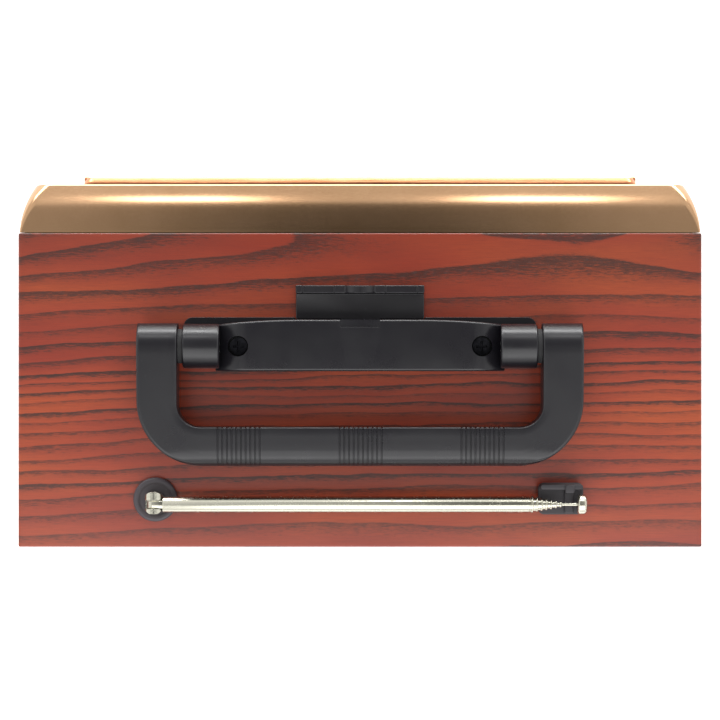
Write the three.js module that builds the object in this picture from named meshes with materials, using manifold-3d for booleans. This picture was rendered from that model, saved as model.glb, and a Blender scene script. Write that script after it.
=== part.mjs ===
// Tabletop radio with a wooden cabinet, a folding handle and a telescopic antenna.
// Millimetres, +Z up. The front faces -Y, the origin is under the middle of the feet.
import * as THREE from 'three';
import { mergeVertices } from 'three/addons/utils/BufferGeometryUtils.js';
import Module from 'manifold-3d';

const wasm = await Module();
wasm.setup();

// ---- Driving dimensions ----

// Cabinet, a wooden sleeve that is open at the front and at the back
const cabinetWidth = 305;
const cabinetDepth = 140;
const cabinetHeight = 176;
const cabinetWall = 12;
const footHeight = 8;
const footRadius = 10;
const footInset = 26;

// Gap that separate pieces keep where they touch, and the gap round pieces that move
const gap = 0.3;
const runningGap = 0.4;

// Bezel: its sides, top and bottom curve in to a flat front
const bezelDepth = 22.3;
const bezelInset = 0.5;
const bezelCurveRadius = 44;
const bezelFace = 3;

// Front trim frame and the panels inside it
const trimSideMargin = 27.5;
const trimTopMargin = 13;
const trimBorder = 6;
const trimCorner = 5;
const trimProud = 3.6;
const trimEndWidth = 2.7;
const trimEndProud = 0.5;
const panelThickness = 4;
const controlHeight = 56;

// Knobs, dial and push buttons on the control panel
const knobRadius = 17;
const knobProud = 10;
const knobEdgeMargin = 1.5;
const knobRaise = 3;
const knobLift = 0.8;
const knobCapThickness = 4;
const shaftRadius = 3;
const shaftSeat = 5;
const controlBodyDepth = 10;
const potentiometerRadius = 9;
const capacitorHalf = 11;
const dialWidth = 132;
const dialHeight = 26;
const dialRaise = 8;
const windowThickness = 1.5;
const scaleThickness = 2;
const scaleRim = 4;
const scaleFoot = 4;
const pointerWidth = 1.2;
const pointerThickness = 1;
const buttonCount = 5;
const buttonWidth = 15;
const buttonHeight = 7;
const buttonPitch = 22;
const buttonDrop = 15;
const buttonProud = 2.6;
const buttonFlange = 1.2;
const boardThickness = 1.6;
const boardSetback = 12;

// Speakers behind the grille
const speakerMargin = 3.5;
const speakerSpread = 62;
const speakerDepth = 30;
const baffleThickness = 6;
const clothThickness = 1;
const grilleBarCount = 9;
const grilleBarHeight = 3;

// Inside the cabinet
const mainBoardWidth = 120;
const mainBoardFront = 30;
const mainBoardBack = 50;
const mainBoardX = 70;
const mainBoardRise = 6;
const transformerX = 96;
const transformerY = -2;
const ferriteRadius = 5;
const ferriteHalf = 60;
const ferriteRearInset = 40;
const ferriteDrop = 14;

// Rear panel and what it carries
const rearPanelThickness = 3;
const rearPanelRecess = 2;
const doorWidth = 96;
const doorHeight = 46;
const doorRise = 24;
const doorOffset = 62;
const portRadius = 17;
const portWall = 2;
const portLength = 42;
const portOffset = 84;
const portRise = 26;
const inletWidth = 20;
const inletHeight = 11;
const inletOffset = 118;
const socketRadius = 4;
const socketOffset = 88;
const socketRise = 30;
const holderDepth = 60;

// Handle: a U that folds about an axis along X
const handleSpan = 196;
const handleArmWidth = 17.8;
const handleReach = 52.8;
const handleGripDepth = 17.2;
const handleEndRadius = 10.1;
const handleThickness = 13;
const handleOuterCorner = 29;
const handleInnerCorner = 10;
const handleRearInset = 89.5;
const pivotPinRadius = 3;
const pivotPinInset = 6;

// Bracket that carries the handle
const bracketHalfWidth = 63.9;
const bracketFront = 11.7;
const bracketBack = 11;
const bracketHeight = 15;
const bracketCornerSlope = 7;
const bracketCurve = 2.2;
const barrelRadius = 9.8;
const barrelEnd = 78;
const basePlateThickness = 1.5;
const basePlateFront = 12.9;
const basePlateBack = 9.3;
const basePlateCorner = 4;
const screwSpread = 53.8;
const screwHeadRadius = 4;
const screwHeadHeight = 2.4;
const screwShankRadius = 1.6;
const counterboreRadius = 4.55;
const counterboreFloor = 5;
const notchWidth = 18;
const notchDepth = 3.2;

// Phone rest in front of the bracket
const restWidth = 57;
const restDepth = 15;
const restFloor = 2;
const restLip = 3.5;
const restLipHeight = 7.5;
const restScoopWidth = 16;
const restScoopDepth = 3.5;

// Antenna, folded along the rear of the cabinet's top
const antennaX = 91.1;
const antennaRearInset = 21.3;
const antennaBaseRadius = 9.8;
const antennaBaseHeight = 3;
const antennaAxisHeight = 9.5;
const antennaOffset = 1.7;
const knuckleWidth = 8;
const knuckleOffset = 1;
const knuckleDepth = 9.5;
const knucklePlanRadius = 5;
const knucklePostRadius = 3;
const lugThickness = 3.2;
const antennaPinRadius = 1;
const antennaPinInset = 0.2;
const sectionCount = 8;
const sectionRadius = 3.5;
const sectionStep = 0.4;
const sectionWall = 0.25;
const sectionLength = 167.6;
const sectionShow = 2.1;
const sectionPlug = 5;
const rodShow = 6.8;
const rodGrip = 2;
const tipRadius = 4.25;
const tipLength = 4.2;
const clipStart = 79.2;
const clipLength = 20;
const clipFront = 9.2;
const clipBack = 4.8;
const clipFloor = 4.3;
const clipWall = 4.4;
const clipWallHeight = 11;
const saddleStart = 90.6;
const saddleLength = 4.2;
const saddleHeight = 6;

// ---- Values worked out from them ----

const totalDepth = cabinetDepth + bezelDepth + knobProud;
const cabinetCentreY = totalDepth / 2 - cabinetDepth / 2;
const innerWidth = cabinetWidth - 2 * cabinetWall;
const innerHeight = cabinetHeight - 2 * cabinetWall;
const trimWidth = cabinetWidth - 2 * trimSideMargin;
const trimHeight = cabinetHeight - 2 * trimTopMargin;
const openingWidth = trimWidth - 2 * trimBorder;
const openingHeight = trimHeight - 2 * trimBorder;
const panelWidth = openingWidth - 2 * gap;
const panelBack = bezelDepth - bezelFace;
const panelFront = panelBack + panelThickness;
const grilleHeight = openingHeight - controlHeight - 3 * gap;
const speakerRadius = grilleHeight / 2 - speakerMargin;
const controlZ = -openingHeight / 2 + gap + controlHeight / 2;
const grilleZ = openingHeight / 2 - gap - grilleHeight / 2;
const knobX = openingWidth / 2 - knobEdgeMargin - knobRadius;
const knobZ = controlZ + knobRaise;
const knobFront = bezelDepth + knobProud;
const knobBack = panelFront + knobLift;
const dialZ = controlZ + dialRaise;
const windowBack = panelFront - 0.5 - windowThickness;
const pointerFront = windowBack - runningGap;
const scaleFront = pointerFront - pointerThickness - runningGap;
const scaleBack = Math.min(scaleFront, panelBack - gap) - scaleThickness;
const buttonZ = controlZ - buttonDrop;
const boardFront = panelBack - boardSetback;
const controlBodyFront = boardFront + controlBodyDepth;
const baffleFront = panelBack - 2 * gap - clothThickness;
const baffleBack = baffleFront - baffleThickness;
const basketBack = baffleBack - gap;
const boardLift = cabinetWall + mainBoardRise;
const panelOuter = -rearPanelRecess;
const panelInner = panelOuter - rearPanelThickness;
const doorCentre = -doorOffset;
const doorPivot = doorRise + rearPanelThickness / 2 + gap;
const portZ = cabinetHeight / 2 + portRise;
const pivotHeight = gap + basePlateThickness + gap + barrelRadius + gap;
const handleAxisY = cabinetDepth / 2 - handleRearInset;
const handleInner = handleSpan / 2 - handleArmWidth;
const antennaY = cabinetDepth / 2 - antennaRearInset;
const antennaAxisY = antennaY + antennaOffset;
const knuckleRadius = knuckleWidth / 2;
const knuckleFront = knuckleOffset - knuckleDepth / 2;
const knuckleBack = knuckleOffset + knuckleDepth / 2;
const tubeStart = knuckleRadius + runningGap;
const rodIndex = sectionCount - 1;
const rodRadius = sectionRadius - rodIndex * sectionStep;
const rodEnd = -sectionLength - (rodIndex - 1) * sectionShow - rodShow;

// ---- Making solids ----

// A closed geometry becomes a solid for cutting and joining.
function toSolid(geometry) {
  geometry.deleteAttribute('normal');
  geometry.deleteAttribute('uv');
  const merged = mergeVertices(geometry, 1e-4);
  const vertProperties = new Float32Array(merged.attributes.position.array);
  const triVerts = new Uint32Array(merged.index.array);
  return new wasm.Manifold(new wasm.Mesh({ numProp: 3, vertProperties, triVerts }));
}

// A solid becomes a geometry that a mesh can show.
function toGeometry(solid) {
  const mesh = solid.getMesh();
  const geometry = new THREE.BufferGeometry();
  geometry.setAttribute('position', new THREE.BufferAttribute(mesh.vertProperties, 3));
  geometry.setIndex(new THREE.BufferAttribute(mesh.triVerts, 1));
  geometry.computeVertexNormals();
  return geometry;
}

function joined(first, ...others) {
  return others.reduce((sum, solid) => sum.add(solid), first);
}

function cutFrom(body, ...tools) {
  return tools.reduce((rest, tool) => rest.subtract(tool), body);
}

// A box between two corners.
function block(x0, x1, y0, y1, z0, z1) {
  const geometry = new THREE.BoxGeometry(x1 - x0, y1 - y0, z1 - z0);
  geometry.translate((x0 + x1) / 2, (y0 + y1) / 2, (z0 + z1) / 2);
  return toSolid(geometry);
}

// A round bar from start to end along the named axis, about the line through (a, b),
// which are the other two coordinates in X, Y, Z order.
function bar(axis, radius, start, end, a = 0, b = 0, sides = 32) {
  const geometry = new THREE.CylinderGeometry(radius, radius, end - start, sides);
  const middle = (start + end) / 2;
  if (axis === 'x') {
    geometry.rotateZ(-Math.PI / 2);
    geometry.translate(middle, a, b);
  } else if (axis === 'y') {
    geometry.translate(a, middle, b);
  } else {
    geometry.rotateX(Math.PI / 2);
    geometry.translate(a, b, middle);
  }
  return toSolid(geometry);
}

// A shape drawn in X and Y, raised from z0 to z1.
function raised(shape, z0, z1, curveSegments = 8) {
  const settings = { depth: z1 - z0, bevelEnabled: false, curveSegments };
  const geometry = new THREE.ExtrudeGeometry(shape, settings);
  geometry.translate(0, 0, z0);
  return toSolid(geometry);
}

// A shape drawn in X and Z as seen from the front, carried along Y from y0 to y1.
function carried(shape, y0, y1, curveSegments = 8) {
  const settings = { depth: y1 - y0, bevelEnabled: false, curveSegments };
  const geometry = new THREE.ExtrudeGeometry(shape, settings);
  geometry.rotateX(Math.PI / 2);
  geometry.translate(0, y1, 0);
  return toSolid(geometry);
}

// A shape drawn in Y and Z as seen from the right, carried along X from x0 to x1.
function drawnAcross(shape, x0, x1, curveSegments = 8) {
  const settings = { depth: x1 - x0, bevelEnabled: false, curveSegments };
  const geometry = new THREE.ExtrudeGeometry(shape, settings);
  geometry.rotateX(Math.PI / 2);
  geometry.rotateZ(Math.PI / 2);
  geometry.translate(x0, 0, 0);
  return toSolid(geometry);
}

// A profile of [radius, height] points turned about Z.
function turned(profile, sides = 32) {
  const points = profile.map(([radius, height]) => new THREE.Vector2(radius, height));
  const geometry = new THREE.LatheGeometry(points, sides);
  geometry.rotateX(Math.PI / 2);
  return toSolid(geometry);
}

// A rectangle with round corners about (x, y).
function roundRectangle(width, height, radius, x = 0, y = 0) {
  const right = x + width / 2;
  const left = x - width / 2;
  const top = y + height / 2;
  const bottom = y - height / 2;
  const shape = new THREE.Shape();
  shape.moveTo(left + radius, bottom);
  shape.lineTo(right - radius, bottom);
  shape.absarc(right - radius, bottom + radius, radius, -Math.PI / 2, 0, false);
  shape.lineTo(right, top - radius);
  shape.absarc(right - radius, top - radius, radius, 0, Math.PI / 2, false);
  shape.lineTo(left + radius, top);
  shape.absarc(left + radius, top - radius, radius, Math.PI / 2, Math.PI, false);
  shape.lineTo(left, bottom + radius);
  shape.absarc(left + radius, bottom + radius, radius, Math.PI, 1.5 * Math.PI, false);
  return shape;
}

// ---- Materials ----

function material(color, roughness, metalness) {
  return new THREE.MeshStandardMaterial({ color, roughness, metalness });
}

const wood = () => material(0x9a4530, 0.45, 0);
const bronze = () => material(0x8a7050, 0.4, 0.7);
const copper = () => material(0xd89868, 0.25, 1);
const blackPlastic = () => material(0x2b2a2c, 0.5, 0);
const glossBlack = () => material(0x101012, 0.15, 0);
const chrome = () => material(0xc9cbb9, 0.12, 1);
const steel = () => material(0x8c8e90, 0.35, 1);
const rubber = () => material(0x1b1b1c, 0.8, 0);
const clearPlastic = () => material(0xe8ecec, 0.05, 0);
const creamPaint = () => material(0xe6dcc0, 0.6, 0);
const cloth = () => material(0x25221f, 0.9, 0);
const paper = () => material(0x1d1c1c, 0.9, 0);
const board = () => material(0x2f6b45, 0.5, 0);
const fibreboard = () => material(0x6b4f35, 0.8, 0);

// Adds one named piece to a group, at a place in that group.
function place(group, name, solid, finish, x = 0, y = 0, z = 0) {
  const mesh = new THREE.Mesh(toGeometry(solid), finish);
  mesh.name = name;
  mesh.position.set(x, y, z);
  group.add(mesh);
}

// ---- The cabinet ----

function cabinetSleeve() {
  const outer = block(
    -cabinetWidth / 2, cabinetWidth / 2, -cabinetDepth / 2, cabinetDepth / 2, 0, cabinetHeight);
  const hollow = block(
    -innerWidth / 2, innerWidth / 2, -cabinetDepth / 2 - 1, cabinetDepth / 2 + 1,
    cabinetWall, cabinetHeight - cabinetWall);
  const screwHoles = [-1, 1].map((side) => bar(
    'z', screwShankRadius + gap, cabinetHeight - cabinetWall - 1, cabinetHeight + 1,
    side * screwSpread, handleAxisY, 16));
  return cutFrom(outer, hollow, ...screwHoles);
}

function foot() {
  const lowerEdge = 1.2;
  return turned([
    [0, 0], [footRadius - lowerEdge, 0], [footRadius, lowerEdge], [footRadius, footHeight - gap],
    [0, footHeight - gap],
  ], 24);
}

// ---- The front ----
// In these functions x and z are counted from the middle of the front, and depth runs
// forwards from the cabinet's front edge, so y is minus the depth.

function frontBlock(x0, x1, backDepth, frontDepth, z0, z1) {
  return block(x0, x1, -frontDepth, -backDepth, z0, z1);
}

function frontShape(shape, backDepth, frontDepth, curveSegments = 8) {
  return carried(shape, -frontDepth, -backDepth, curveSegments);
}

function frontBar(radius, backDepth, frontDepth, x, z, sides = 32) {
  return bar('y', radius, -frontDepth, -backDepth, x, z, sides);
}

// Outline of the bezel in one direction: straight back edge, sides that start square to it and
// curve in on an arc, and a flat front. The first coordinate is across, the second is the depth.
function bezelOutline(halfWidth) {
  const halfBack = halfWidth - bezelInset;
  const steps = 10;
  const points = [];
  for (let step = 0; step <= steps; step += 1) {
    const depth = gap + (bezelDepth - gap) * step / steps;
    const inset = bezelCurveRadius - Math.sqrt(bezelCurveRadius ** 2 - depth ** 2);
    points.push([halfBack - inset, depth]);
  }
  return points;
}

function frontBezel() {
  const plan = bezelOutline(cabinetWidth / 2);
  const side = bezelOutline(cabinetHeight / 2);
  const planShape = new THREE.Shape();
  const sideShape = new THREE.Shape();
  plan.forEach(([x, depth], index) => (
    index ? planShape.lineTo(x, -depth) : planShape.moveTo(x, -depth)));
  [...plan].reverse().forEach(([x, depth]) => planShape.lineTo(-x, -depth));
  side.forEach(([z, depth], index) => (
    index ? sideShape.lineTo(-depth, z) : sideShape.moveTo(-depth, z)));
  [...side].reverse().forEach(([z, depth]) => sideShape.lineTo(-depth, -z));
  const body = raised(planShape, -cabinetHeight, cabinetHeight)
    .intersect(drawnAcross(sideShape, -cabinetWidth, cabinetWidth));
  const cavity = frontBlock(
    -innerWidth / 2, innerWidth / 2, -1, panelBack, -innerHeight / 2, innerHeight / 2);
  const opening = frontBlock(
    -openingWidth / 2, openingWidth / 2, panelBack - 1, bezelDepth + 1,
    -openingHeight / 2, openingHeight / 2);
  return cutFrom(body, cavity, opening);
}

function frontTrim() {
  const backDepth = bezelDepth + gap;
  const frontDepth = bezelDepth + trimProud;
  const endX = trimWidth / 2 - trimEndWidth / 2;
  const outer = roundRectangle(trimWidth, trimHeight, trimCorner);
  const inner = roundRectangle(openingWidth, openingHeight, gap);
  const ends = [-1, 1].map((side) => frontBlock(
    side * endX - trimEndWidth / 2, side * endX + trimEndWidth / 2,
    backDepth, frontDepth + trimEndProud, -trimHeight / 2 + trimCorner, trimHeight / 2 - trimCorner));
  const ring = cutFrom(
    frontShape(outer, backDepth, frontDepth), frontShape(inner, backDepth - 1, frontDepth + 1, 2));
  return joined(ring, ...ends);
}

function speakerGrille() {
  const border = 5;
  const plate = frontBlock(
    -panelWidth / 2, panelWidth / 2, panelBack, panelFront,
    grilleZ - grilleHeight / 2, grilleZ + grilleHeight / 2);
  const clear = grilleHeight - 2 * border;
  const pitch = (clear + grilleBarHeight) / (grilleBarCount + 1);
  const slots = Array.from({ length: grilleBarCount + 1 }, (_, index) => {
    const bottom = grilleZ - clear / 2 + index * pitch;
    return frontBlock(
      -panelWidth / 2 + border, panelWidth / 2 - border, panelBack - 1, panelFront + 1,
      bottom, bottom + pitch - grilleBarHeight);
  });
  return cutFrom(plate, ...slots);
}

function speakerCloth() {
  const backDepth = panelBack - gap - clothThickness;
  return frontBlock(
    -panelWidth / 2, panelWidth / 2, backDepth, panelBack - gap,
    grilleZ - grilleHeight / 2, grilleZ + grilleHeight / 2);
}

function baffleBoard() {
  const holeRadius = speakerRadius - 4;
  const board = frontBlock(
    -innerWidth / 2 + gap, innerWidth / 2 - gap, baffleBack, baffleFront,
    grilleZ - grilleHeight / 2, innerHeight / 2 - gap);
  const holes = [-1, 1].map((side) => frontBar(
    holeRadius, baffleBack - 1, baffleFront + 1, side * speakerSpread, grilleZ));
  return cutFrom(board, ...holes);
}

function controlPanel() {
  const plate = frontBlock(
    -panelWidth / 2, panelWidth / 2, panelBack, panelFront,
    controlZ - controlHeight / 2, controlZ + controlHeight / 2);
  const dial = frontBlock(
    -dialWidth / 2, dialWidth / 2, panelBack - 1, panelFront + 1,
    dialZ - dialHeight / 2, dialZ + dialHeight / 2);
  const shaftHoles = [-1, 1].map((side) => frontBar(
    shaftRadius + 2 * runningGap, panelBack - 1, panelFront + 1, side * knobX, knobZ, 24));
  const buttonHoles = buttonPlaces().map((x) => frontBlock(
    x - buttonWidth / 2 - runningGap, x + buttonWidth / 2 + runningGap, panelBack - 1, panelFront + 1,
    buttonZ - buttonHeight / 2 - runningGap, buttonZ + buttonHeight / 2 + runningGap));
  return cutFrom(plate, dial, ...shaftHoles, ...buttonHoles);
}

function dialWindow() {
  return frontBlock(
    -dialWidth / 2 + gap, dialWidth / 2 - gap, windowBack, windowBack + windowThickness,
    dialZ - dialHeight / 2 + gap, dialZ + dialHeight / 2 - gap);
}

function dialScale() {
  const frontDepth = scaleBack + scaleThickness;
  return frontBlock(
    -dialWidth / 2 - scaleRim, dialWidth / 2 + scaleRim, scaleBack, frontDepth,
    dialZ - dialHeight / 2 + scaleFoot, dialZ + dialHeight / 2 + scaleRim);
}

// The pointer's bar hangs in front of the scale, and its foot passes under the scale's lower
// edge to the carriage behind.
function dialPointer() {
  const barBack = pointerFront - pointerThickness;
  const low = dialZ - dialHeight / 2 + gap;
  const footTop = low + scaleFoot - 2 * gap - runningGap;
  const barTop = dialZ + dialHeight / 2 - 2 * gap;
  const carriageFront = scaleBack - runningGap;
  const carriageBack = carriageFront - 3;
  const carriageWidth = 8;
  const carriageTop = footTop + 5;
  const needle = frontBlock(-pointerWidth / 2, pointerWidth / 2, barBack, pointerFront, low, barTop);
  const footBar = frontBlock(-pointerWidth, pointerWidth, carriageBack, pointerFront, low, footTop);
  const carriage = frontBlock(
    -carriageWidth / 2, carriageWidth / 2, carriageBack, carriageFront, low, carriageTop);
  return joined(needle, footBar, carriage);
}

function buttonPlaces() {
  return Array.from({ length: buttonCount }, (_, index) => (
    (index - (buttonCount - 1) / 2) * buttonPitch));
}

function pushButton() {
  const lip = 1.5;
  const flangeFront = panelBack - gap;
  const flangeBack = flangeFront - buttonFlange;
  const cap = frontBlock(
    -buttonWidth / 2, buttonWidth / 2, flangeBack, panelFront + buttonProud,
    -buttonHeight / 2, buttonHeight / 2);
  const flange = frontBlock(
    -buttonWidth / 2 - lip, buttonWidth / 2 + lip, flangeBack, flangeFront,
    -buttonHeight / 2 - lip, buttonHeight / 2 + lip);
  return joined(cap, flange);
}

// A knob is a fluted drum with a blind hole at its back for the shaft.
function knob() {
  const shape = new THREE.Shape();
  const flutes = 30;
  const fluteDepth = 0.5;
  const rimFront = knobFront - 1.5;
  const capRadius = knobRadius - 2;
  for (let index = 0; index < 2 * flutes; index += 1) {
    const angle = Math.PI * index / flutes;
    const radius = knobRadius - (index % 2) * fluteDepth;
    const x = radius * Math.cos(angle);
    const z = radius * Math.sin(angle);
    if (index) shape.lineTo(x, z);
    else shape.moveTo(x, z);
  }
  const drum = frontShape(shape, knobBack, rimFront);
  const cap = frontBar(capRadius, rimFront - 0.5, knobFront, 0, 0, 48);
  const bore = frontBar(shaftRadius + gap, knobBack - 1, knobFront - knobCapThickness, 0, 0, 24);
  return cutFrom(joined(drum, cap), bore);
}

function knobShaft() {
  return frontBar(
    shaftRadius, boardFront + shaftSeat, knobFront - knobCapThickness - gap, 0, 0, 24);
}

// The blind bore in a control's body, where the shaft turns.
function shaftBore() {
  return frontBar(
    shaftRadius + runningGap, boardFront + shaftSeat - gap, controlBodyFront + 1, 0, 0, 24);
}

function potentiometer() {
  const body = frontBar(potentiometerRadius, boardFront + gap, controlBodyFront, 0, 0, 24);
  return cutFrom(body, shaftBore());
}

function tuningCapacitor() {
  const body = frontBlock(
    -capacitorHalf, capacitorHalf, boardFront + gap, controlBodyFront,
    -capacitorHalf, capacitorHalf);
  return cutFrom(body, shaftBore());
}

function frontBoard() {
  const topMargin = 4;
  return frontBlock(
    -openingWidth / 2, openingWidth / 2, boardFront - boardThickness, boardFront,
    controlZ - controlHeight / 2, controlZ + controlHeight / 2 - topMargin);
}

// ---- Inside ----

// The basket is a thin cone with a flange in front and a magnet behind, turned about Z and
// then laid along Y with its flange to the front.
function speakerBasket() {
  const flange = 2.5;
  const throat = 12;
  const magnetRadius = 20;
  const magnetFront = 11 - speakerDepth;
  const shell = 1.6;
  const neckRadius = magnetRadius - 2;
  const floor = magnetFront + 2;
  const shellRadius = speakerRadius - 5;
  const profile = [
    [speakerRadius, 0], [speakerRadius, -flange], [shellRadius, -flange],
    [neckRadius, magnetFront], [magnetRadius, magnetFront],
    [magnetRadius, -speakerDepth], [0, -speakerDepth], [0, floor], [throat, floor],
    [shellRadius - shell, -flange + shell], [shellRadius - shell, 0],
  ];
  return turned([...profile, profile[0]].reverse(), 32).rotate([90, 0, 0]);
}

function speakerCone() {
  const rim = speakerRadius - 8;
  const rimFront = -1;
  const paperThickness = 0.8;
  const coneDepth = 12;
  const capRadius = 9;
  const capRise = 4;
  return turned([
    [0, capRise - coneDepth], [capRadius - 3, capRise - 1 - coneDepth], [capRadius, -coneDepth],
    [rim, rimFront], [rim, rimFront - paperThickness], [capRadius, -coneDepth - paperThickness],
    [0, -coneDepth - paperThickness],
  ].reverse(), 32).rotate([90, 0, 0]);
}

function mainBoard() {
  return block(
    -mainBoardWidth / 2, mainBoardWidth / 2, -mainBoardFront, mainBoardBack, 0, boardThickness);
}

function transformer() {
  const coreX = 24;
  const coreY = 20;
  const coreHeight = 40;
  const windingX = 15;
  const windingY = 27;
  const windingEnd = 8;
  const core = block(-coreX, coreX, -coreY, coreY, 0, coreHeight);
  const winding = block(
    -windingX, windingX, -windingY, windingY, windingEnd, coreHeight - windingEnd);
  return joined(core, winding);
}

function batteryHolder() {
  const wall = 2;
  const outer = block(-doorWidth / 2, doorWidth / 2, -holderDepth, 0, 0, doorHeight);
  const hollow = block(
    -doorWidth / 2 + wall, doorWidth / 2 - wall, -holderDepth + wall, 1, wall, doorHeight - wall);
  return cutFrom(outer, hollow);
}

// ---- The back ----
// y is counted from the cabinet's rear edge, z from its underside.

function inletShape(spare) {
  const width = inletWidth + 2 * spare;
  const height = inletHeight + 2 * spare;
  return roundRectangle(width, height, height / 2 - 0.1, inletOffset, socketRise);
}

function rearPanel() {
  const plate = block(
    -innerWidth / 2 + gap, innerWidth / 2 - gap, panelInner, panelOuter,
    cabinetWall + gap, cabinetHeight - cabinetWall - gap);
  const doorway = block(
    doorCentre - doorWidth / 2, doorCentre + doorWidth / 2, panelInner - 1, panelOuter + 1,
    doorRise, doorRise + doorHeight);
  const port = bar('y', portRadius + gap, panelInner - 1, panelOuter + 1, portOffset, portZ, 32);
  const inlet = carried(inletShape(gap), panelInner - 1, panelOuter + 1, 6);
  const socket = bar('y', socketRadius + gap, panelInner - 1, panelOuter + 1, socketOffset, socketRise, 24);
  return cutFrom(plate, doorway, port, inlet, socket);
}

// The door's lower edge is a half round about its hinge line.
function batteryDoor() {
  const half = rearPanelThickness / 2;
  const width = doorWidth / 2 - runningGap;
  const middle = (panelInner + panelOuter) / 2;
  const leaf = block(
    doorCentre - width, doorCentre + width, panelInner, panelOuter,
    doorPivot, doorRise + doorHeight - runningGap);
  const edge = bar('x', half, doorCentre - width, doorCentre + width, middle, doorPivot, 24);
  return joined(leaf, edge);
}

function bassPort() {
  const proud = 0.5;
  const inner = panelOuter - portLength;
  const tube = bar('y', portRadius, inner, panelOuter + proud, portOffset, portZ, 32);
  const hole = bar(
    'y', portRadius - portWall, inner - 1, panelOuter + proud + 1, portOffset, portZ, 32);
  return cutFrom(tube, hole);
}

// The mains inlet has a housing behind the panel, and two pins in its recess.
function mainsInlet() {
  const halfWidth = 13;
  const halfHeight = 9;
  const housingDepth = 16;
  const wall = 1.6;
  const recessBack = panelOuter - 13;
  const pinRadius = 1.2;
  const pinSpread = 4.3;
  const pinFront = panelOuter - 3;
  const housingFront = panelInner - gap;
  const housing = block(
    inletOffset - halfWidth, inletOffset + halfWidth, housingFront - housingDepth, housingFront,
    socketRise - halfHeight, socketRise + halfHeight);
  const shroud = carried(inletShape(0), housingFront - 1, panelOuter, 6);
  const recess = carried(inletShape(-wall), recessBack, panelOuter + 1, 6);
  const pins = [-1, 1].map((side) => bar(
    'y', pinRadius, recessBack - 1, pinFront, inletOffset + side * pinSpread, socketRise, 12));
  return joined(cutFrom(joined(housing, shroud), recess), ...pins);
}

function lineSocket() {
  const half = 6;
  const bodyDepth = 12;
  const holeRadius = 1.8;
  const holeDepth = 10;
  const barrelProud = 0.6;
  const bodyFront = panelInner - gap;
  const body = block(
    socketOffset - half, socketOffset + half, bodyFront - bodyDepth, bodyFront,
    socketRise - half, socketRise + half);
  const barrel = bar(
    'y', socketRadius, bodyFront - 1, panelOuter + barrelProud, socketOffset, socketRise, 24);
  const hole = bar(
    'y', holeRadius, bodyFront - holeDepth, panelOuter + 2, socketOffset, socketRise, 16);
  return cutFrom(joined(body, barrel), hole);
}

// ---- The handle ----
// x, y and z are counted from the middle of the pivot line.

function handleGrip() {
  const half = handleSpan / 2;
  const gripFront = handleReach - handleGripDepth;
  const plan = new THREE.Shape();
  const outerTurn = half - handleOuterCorner;
  const innerTurn = handleInner - handleInnerCorner;
  plan.moveTo(half, -handleEndRadius);
  plan.lineTo(half, handleReach - handleOuterCorner);
  plan.absarc(outerTurn, handleReach - handleOuterCorner, handleOuterCorner, 0, Math.PI / 2, false);
  plan.lineTo(-outerTurn, handleReach);
  plan.absarc(
    -outerTurn, handleReach - handleOuterCorner, handleOuterCorner, Math.PI / 2, Math.PI, false);
  plan.lineTo(-half, -handleEndRadius);
  plan.lineTo(-handleInner, -handleEndRadius);
  plan.lineTo(-handleInner, gripFront - handleInnerCorner);
  plan.absarc(
    -innerTurn, gripFront - handleInnerCorner, handleInnerCorner, Math.PI, Math.PI / 2, true);
  plan.lineTo(innerTurn, gripFront);
  plan.absarc(innerTurn, gripFront - handleInnerCorner, handleInnerCorner, Math.PI / 2, 0, true);
  plan.lineTo(handleInner, -handleEndRadius);
  const side = new THREE.Shape();
  const tipRound = handleThickness / 2;
  const tipCentre = handleReach - tipRound;
  const lean = Math.asin((handleEndRadius - tipRound) / tipCentre);
  side.absarc(0, 0, handleEndRadius, Math.PI / 2 - lean, 1.5 * Math.PI + lean, false);
  side.absarc(tipCentre, 0, tipRound, -Math.PI / 2 + lean, Math.PI / 2 - lean, false);
  const body = raised(plan, -handleEndRadius - 1, handleEndRadius + 1, 8)
    .intersect(drawnAcross(side, -half - 1, half + 1, 12));
  const boreEnd = half - pivotPinInset;
  const bores = [-1, 1].map((end) => bar(
    'x', pivotPinRadius + gap, Math.min(end * boreEnd, end * (handleInner - 1)),
    Math.max(end * boreEnd, end * (handleInner - 1)), 0, 0, 24));
  return cutFrom(body, ...bores);
}

function pivotPin() {
  return bar(
    'x', pivotPinRadius, bracketHalfWidth + 1 + gap, handleSpan / 2 - pivotPinInset - gap, 0, 0, 24);
}

// Outline of the bracket's block from above: straight back, front that bends back to the ends.
function bracketPlan(halfWidth) {
  const straight = halfWidth * 0.4;
  const bend = halfWidth * 0.7;
  const shape = new THREE.Shape();
  shape.moveTo(-halfWidth, bracketBack);
  shape.lineTo(-halfWidth, -bracketFront + bracketCurve);
  shape.quadraticCurveTo(-bend, -bracketFront, -straight, -bracketFront);
  shape.lineTo(straight, -bracketFront);
  shape.quadraticCurveTo(bend, -bracketFront, halfWidth, -bracketFront + bracketCurve);
  shape.lineTo(halfWidth, bracketBack);
  return shape;
}

// The notch in the front of the bracket and its base, where the phone rest's tongue goes.
function notchCut(low, high) {
  return block(
    -notchWidth / 2, notchWidth / 2, -bracketFront - 5, -bracketFront + notchDepth, low, high);
}

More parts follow.
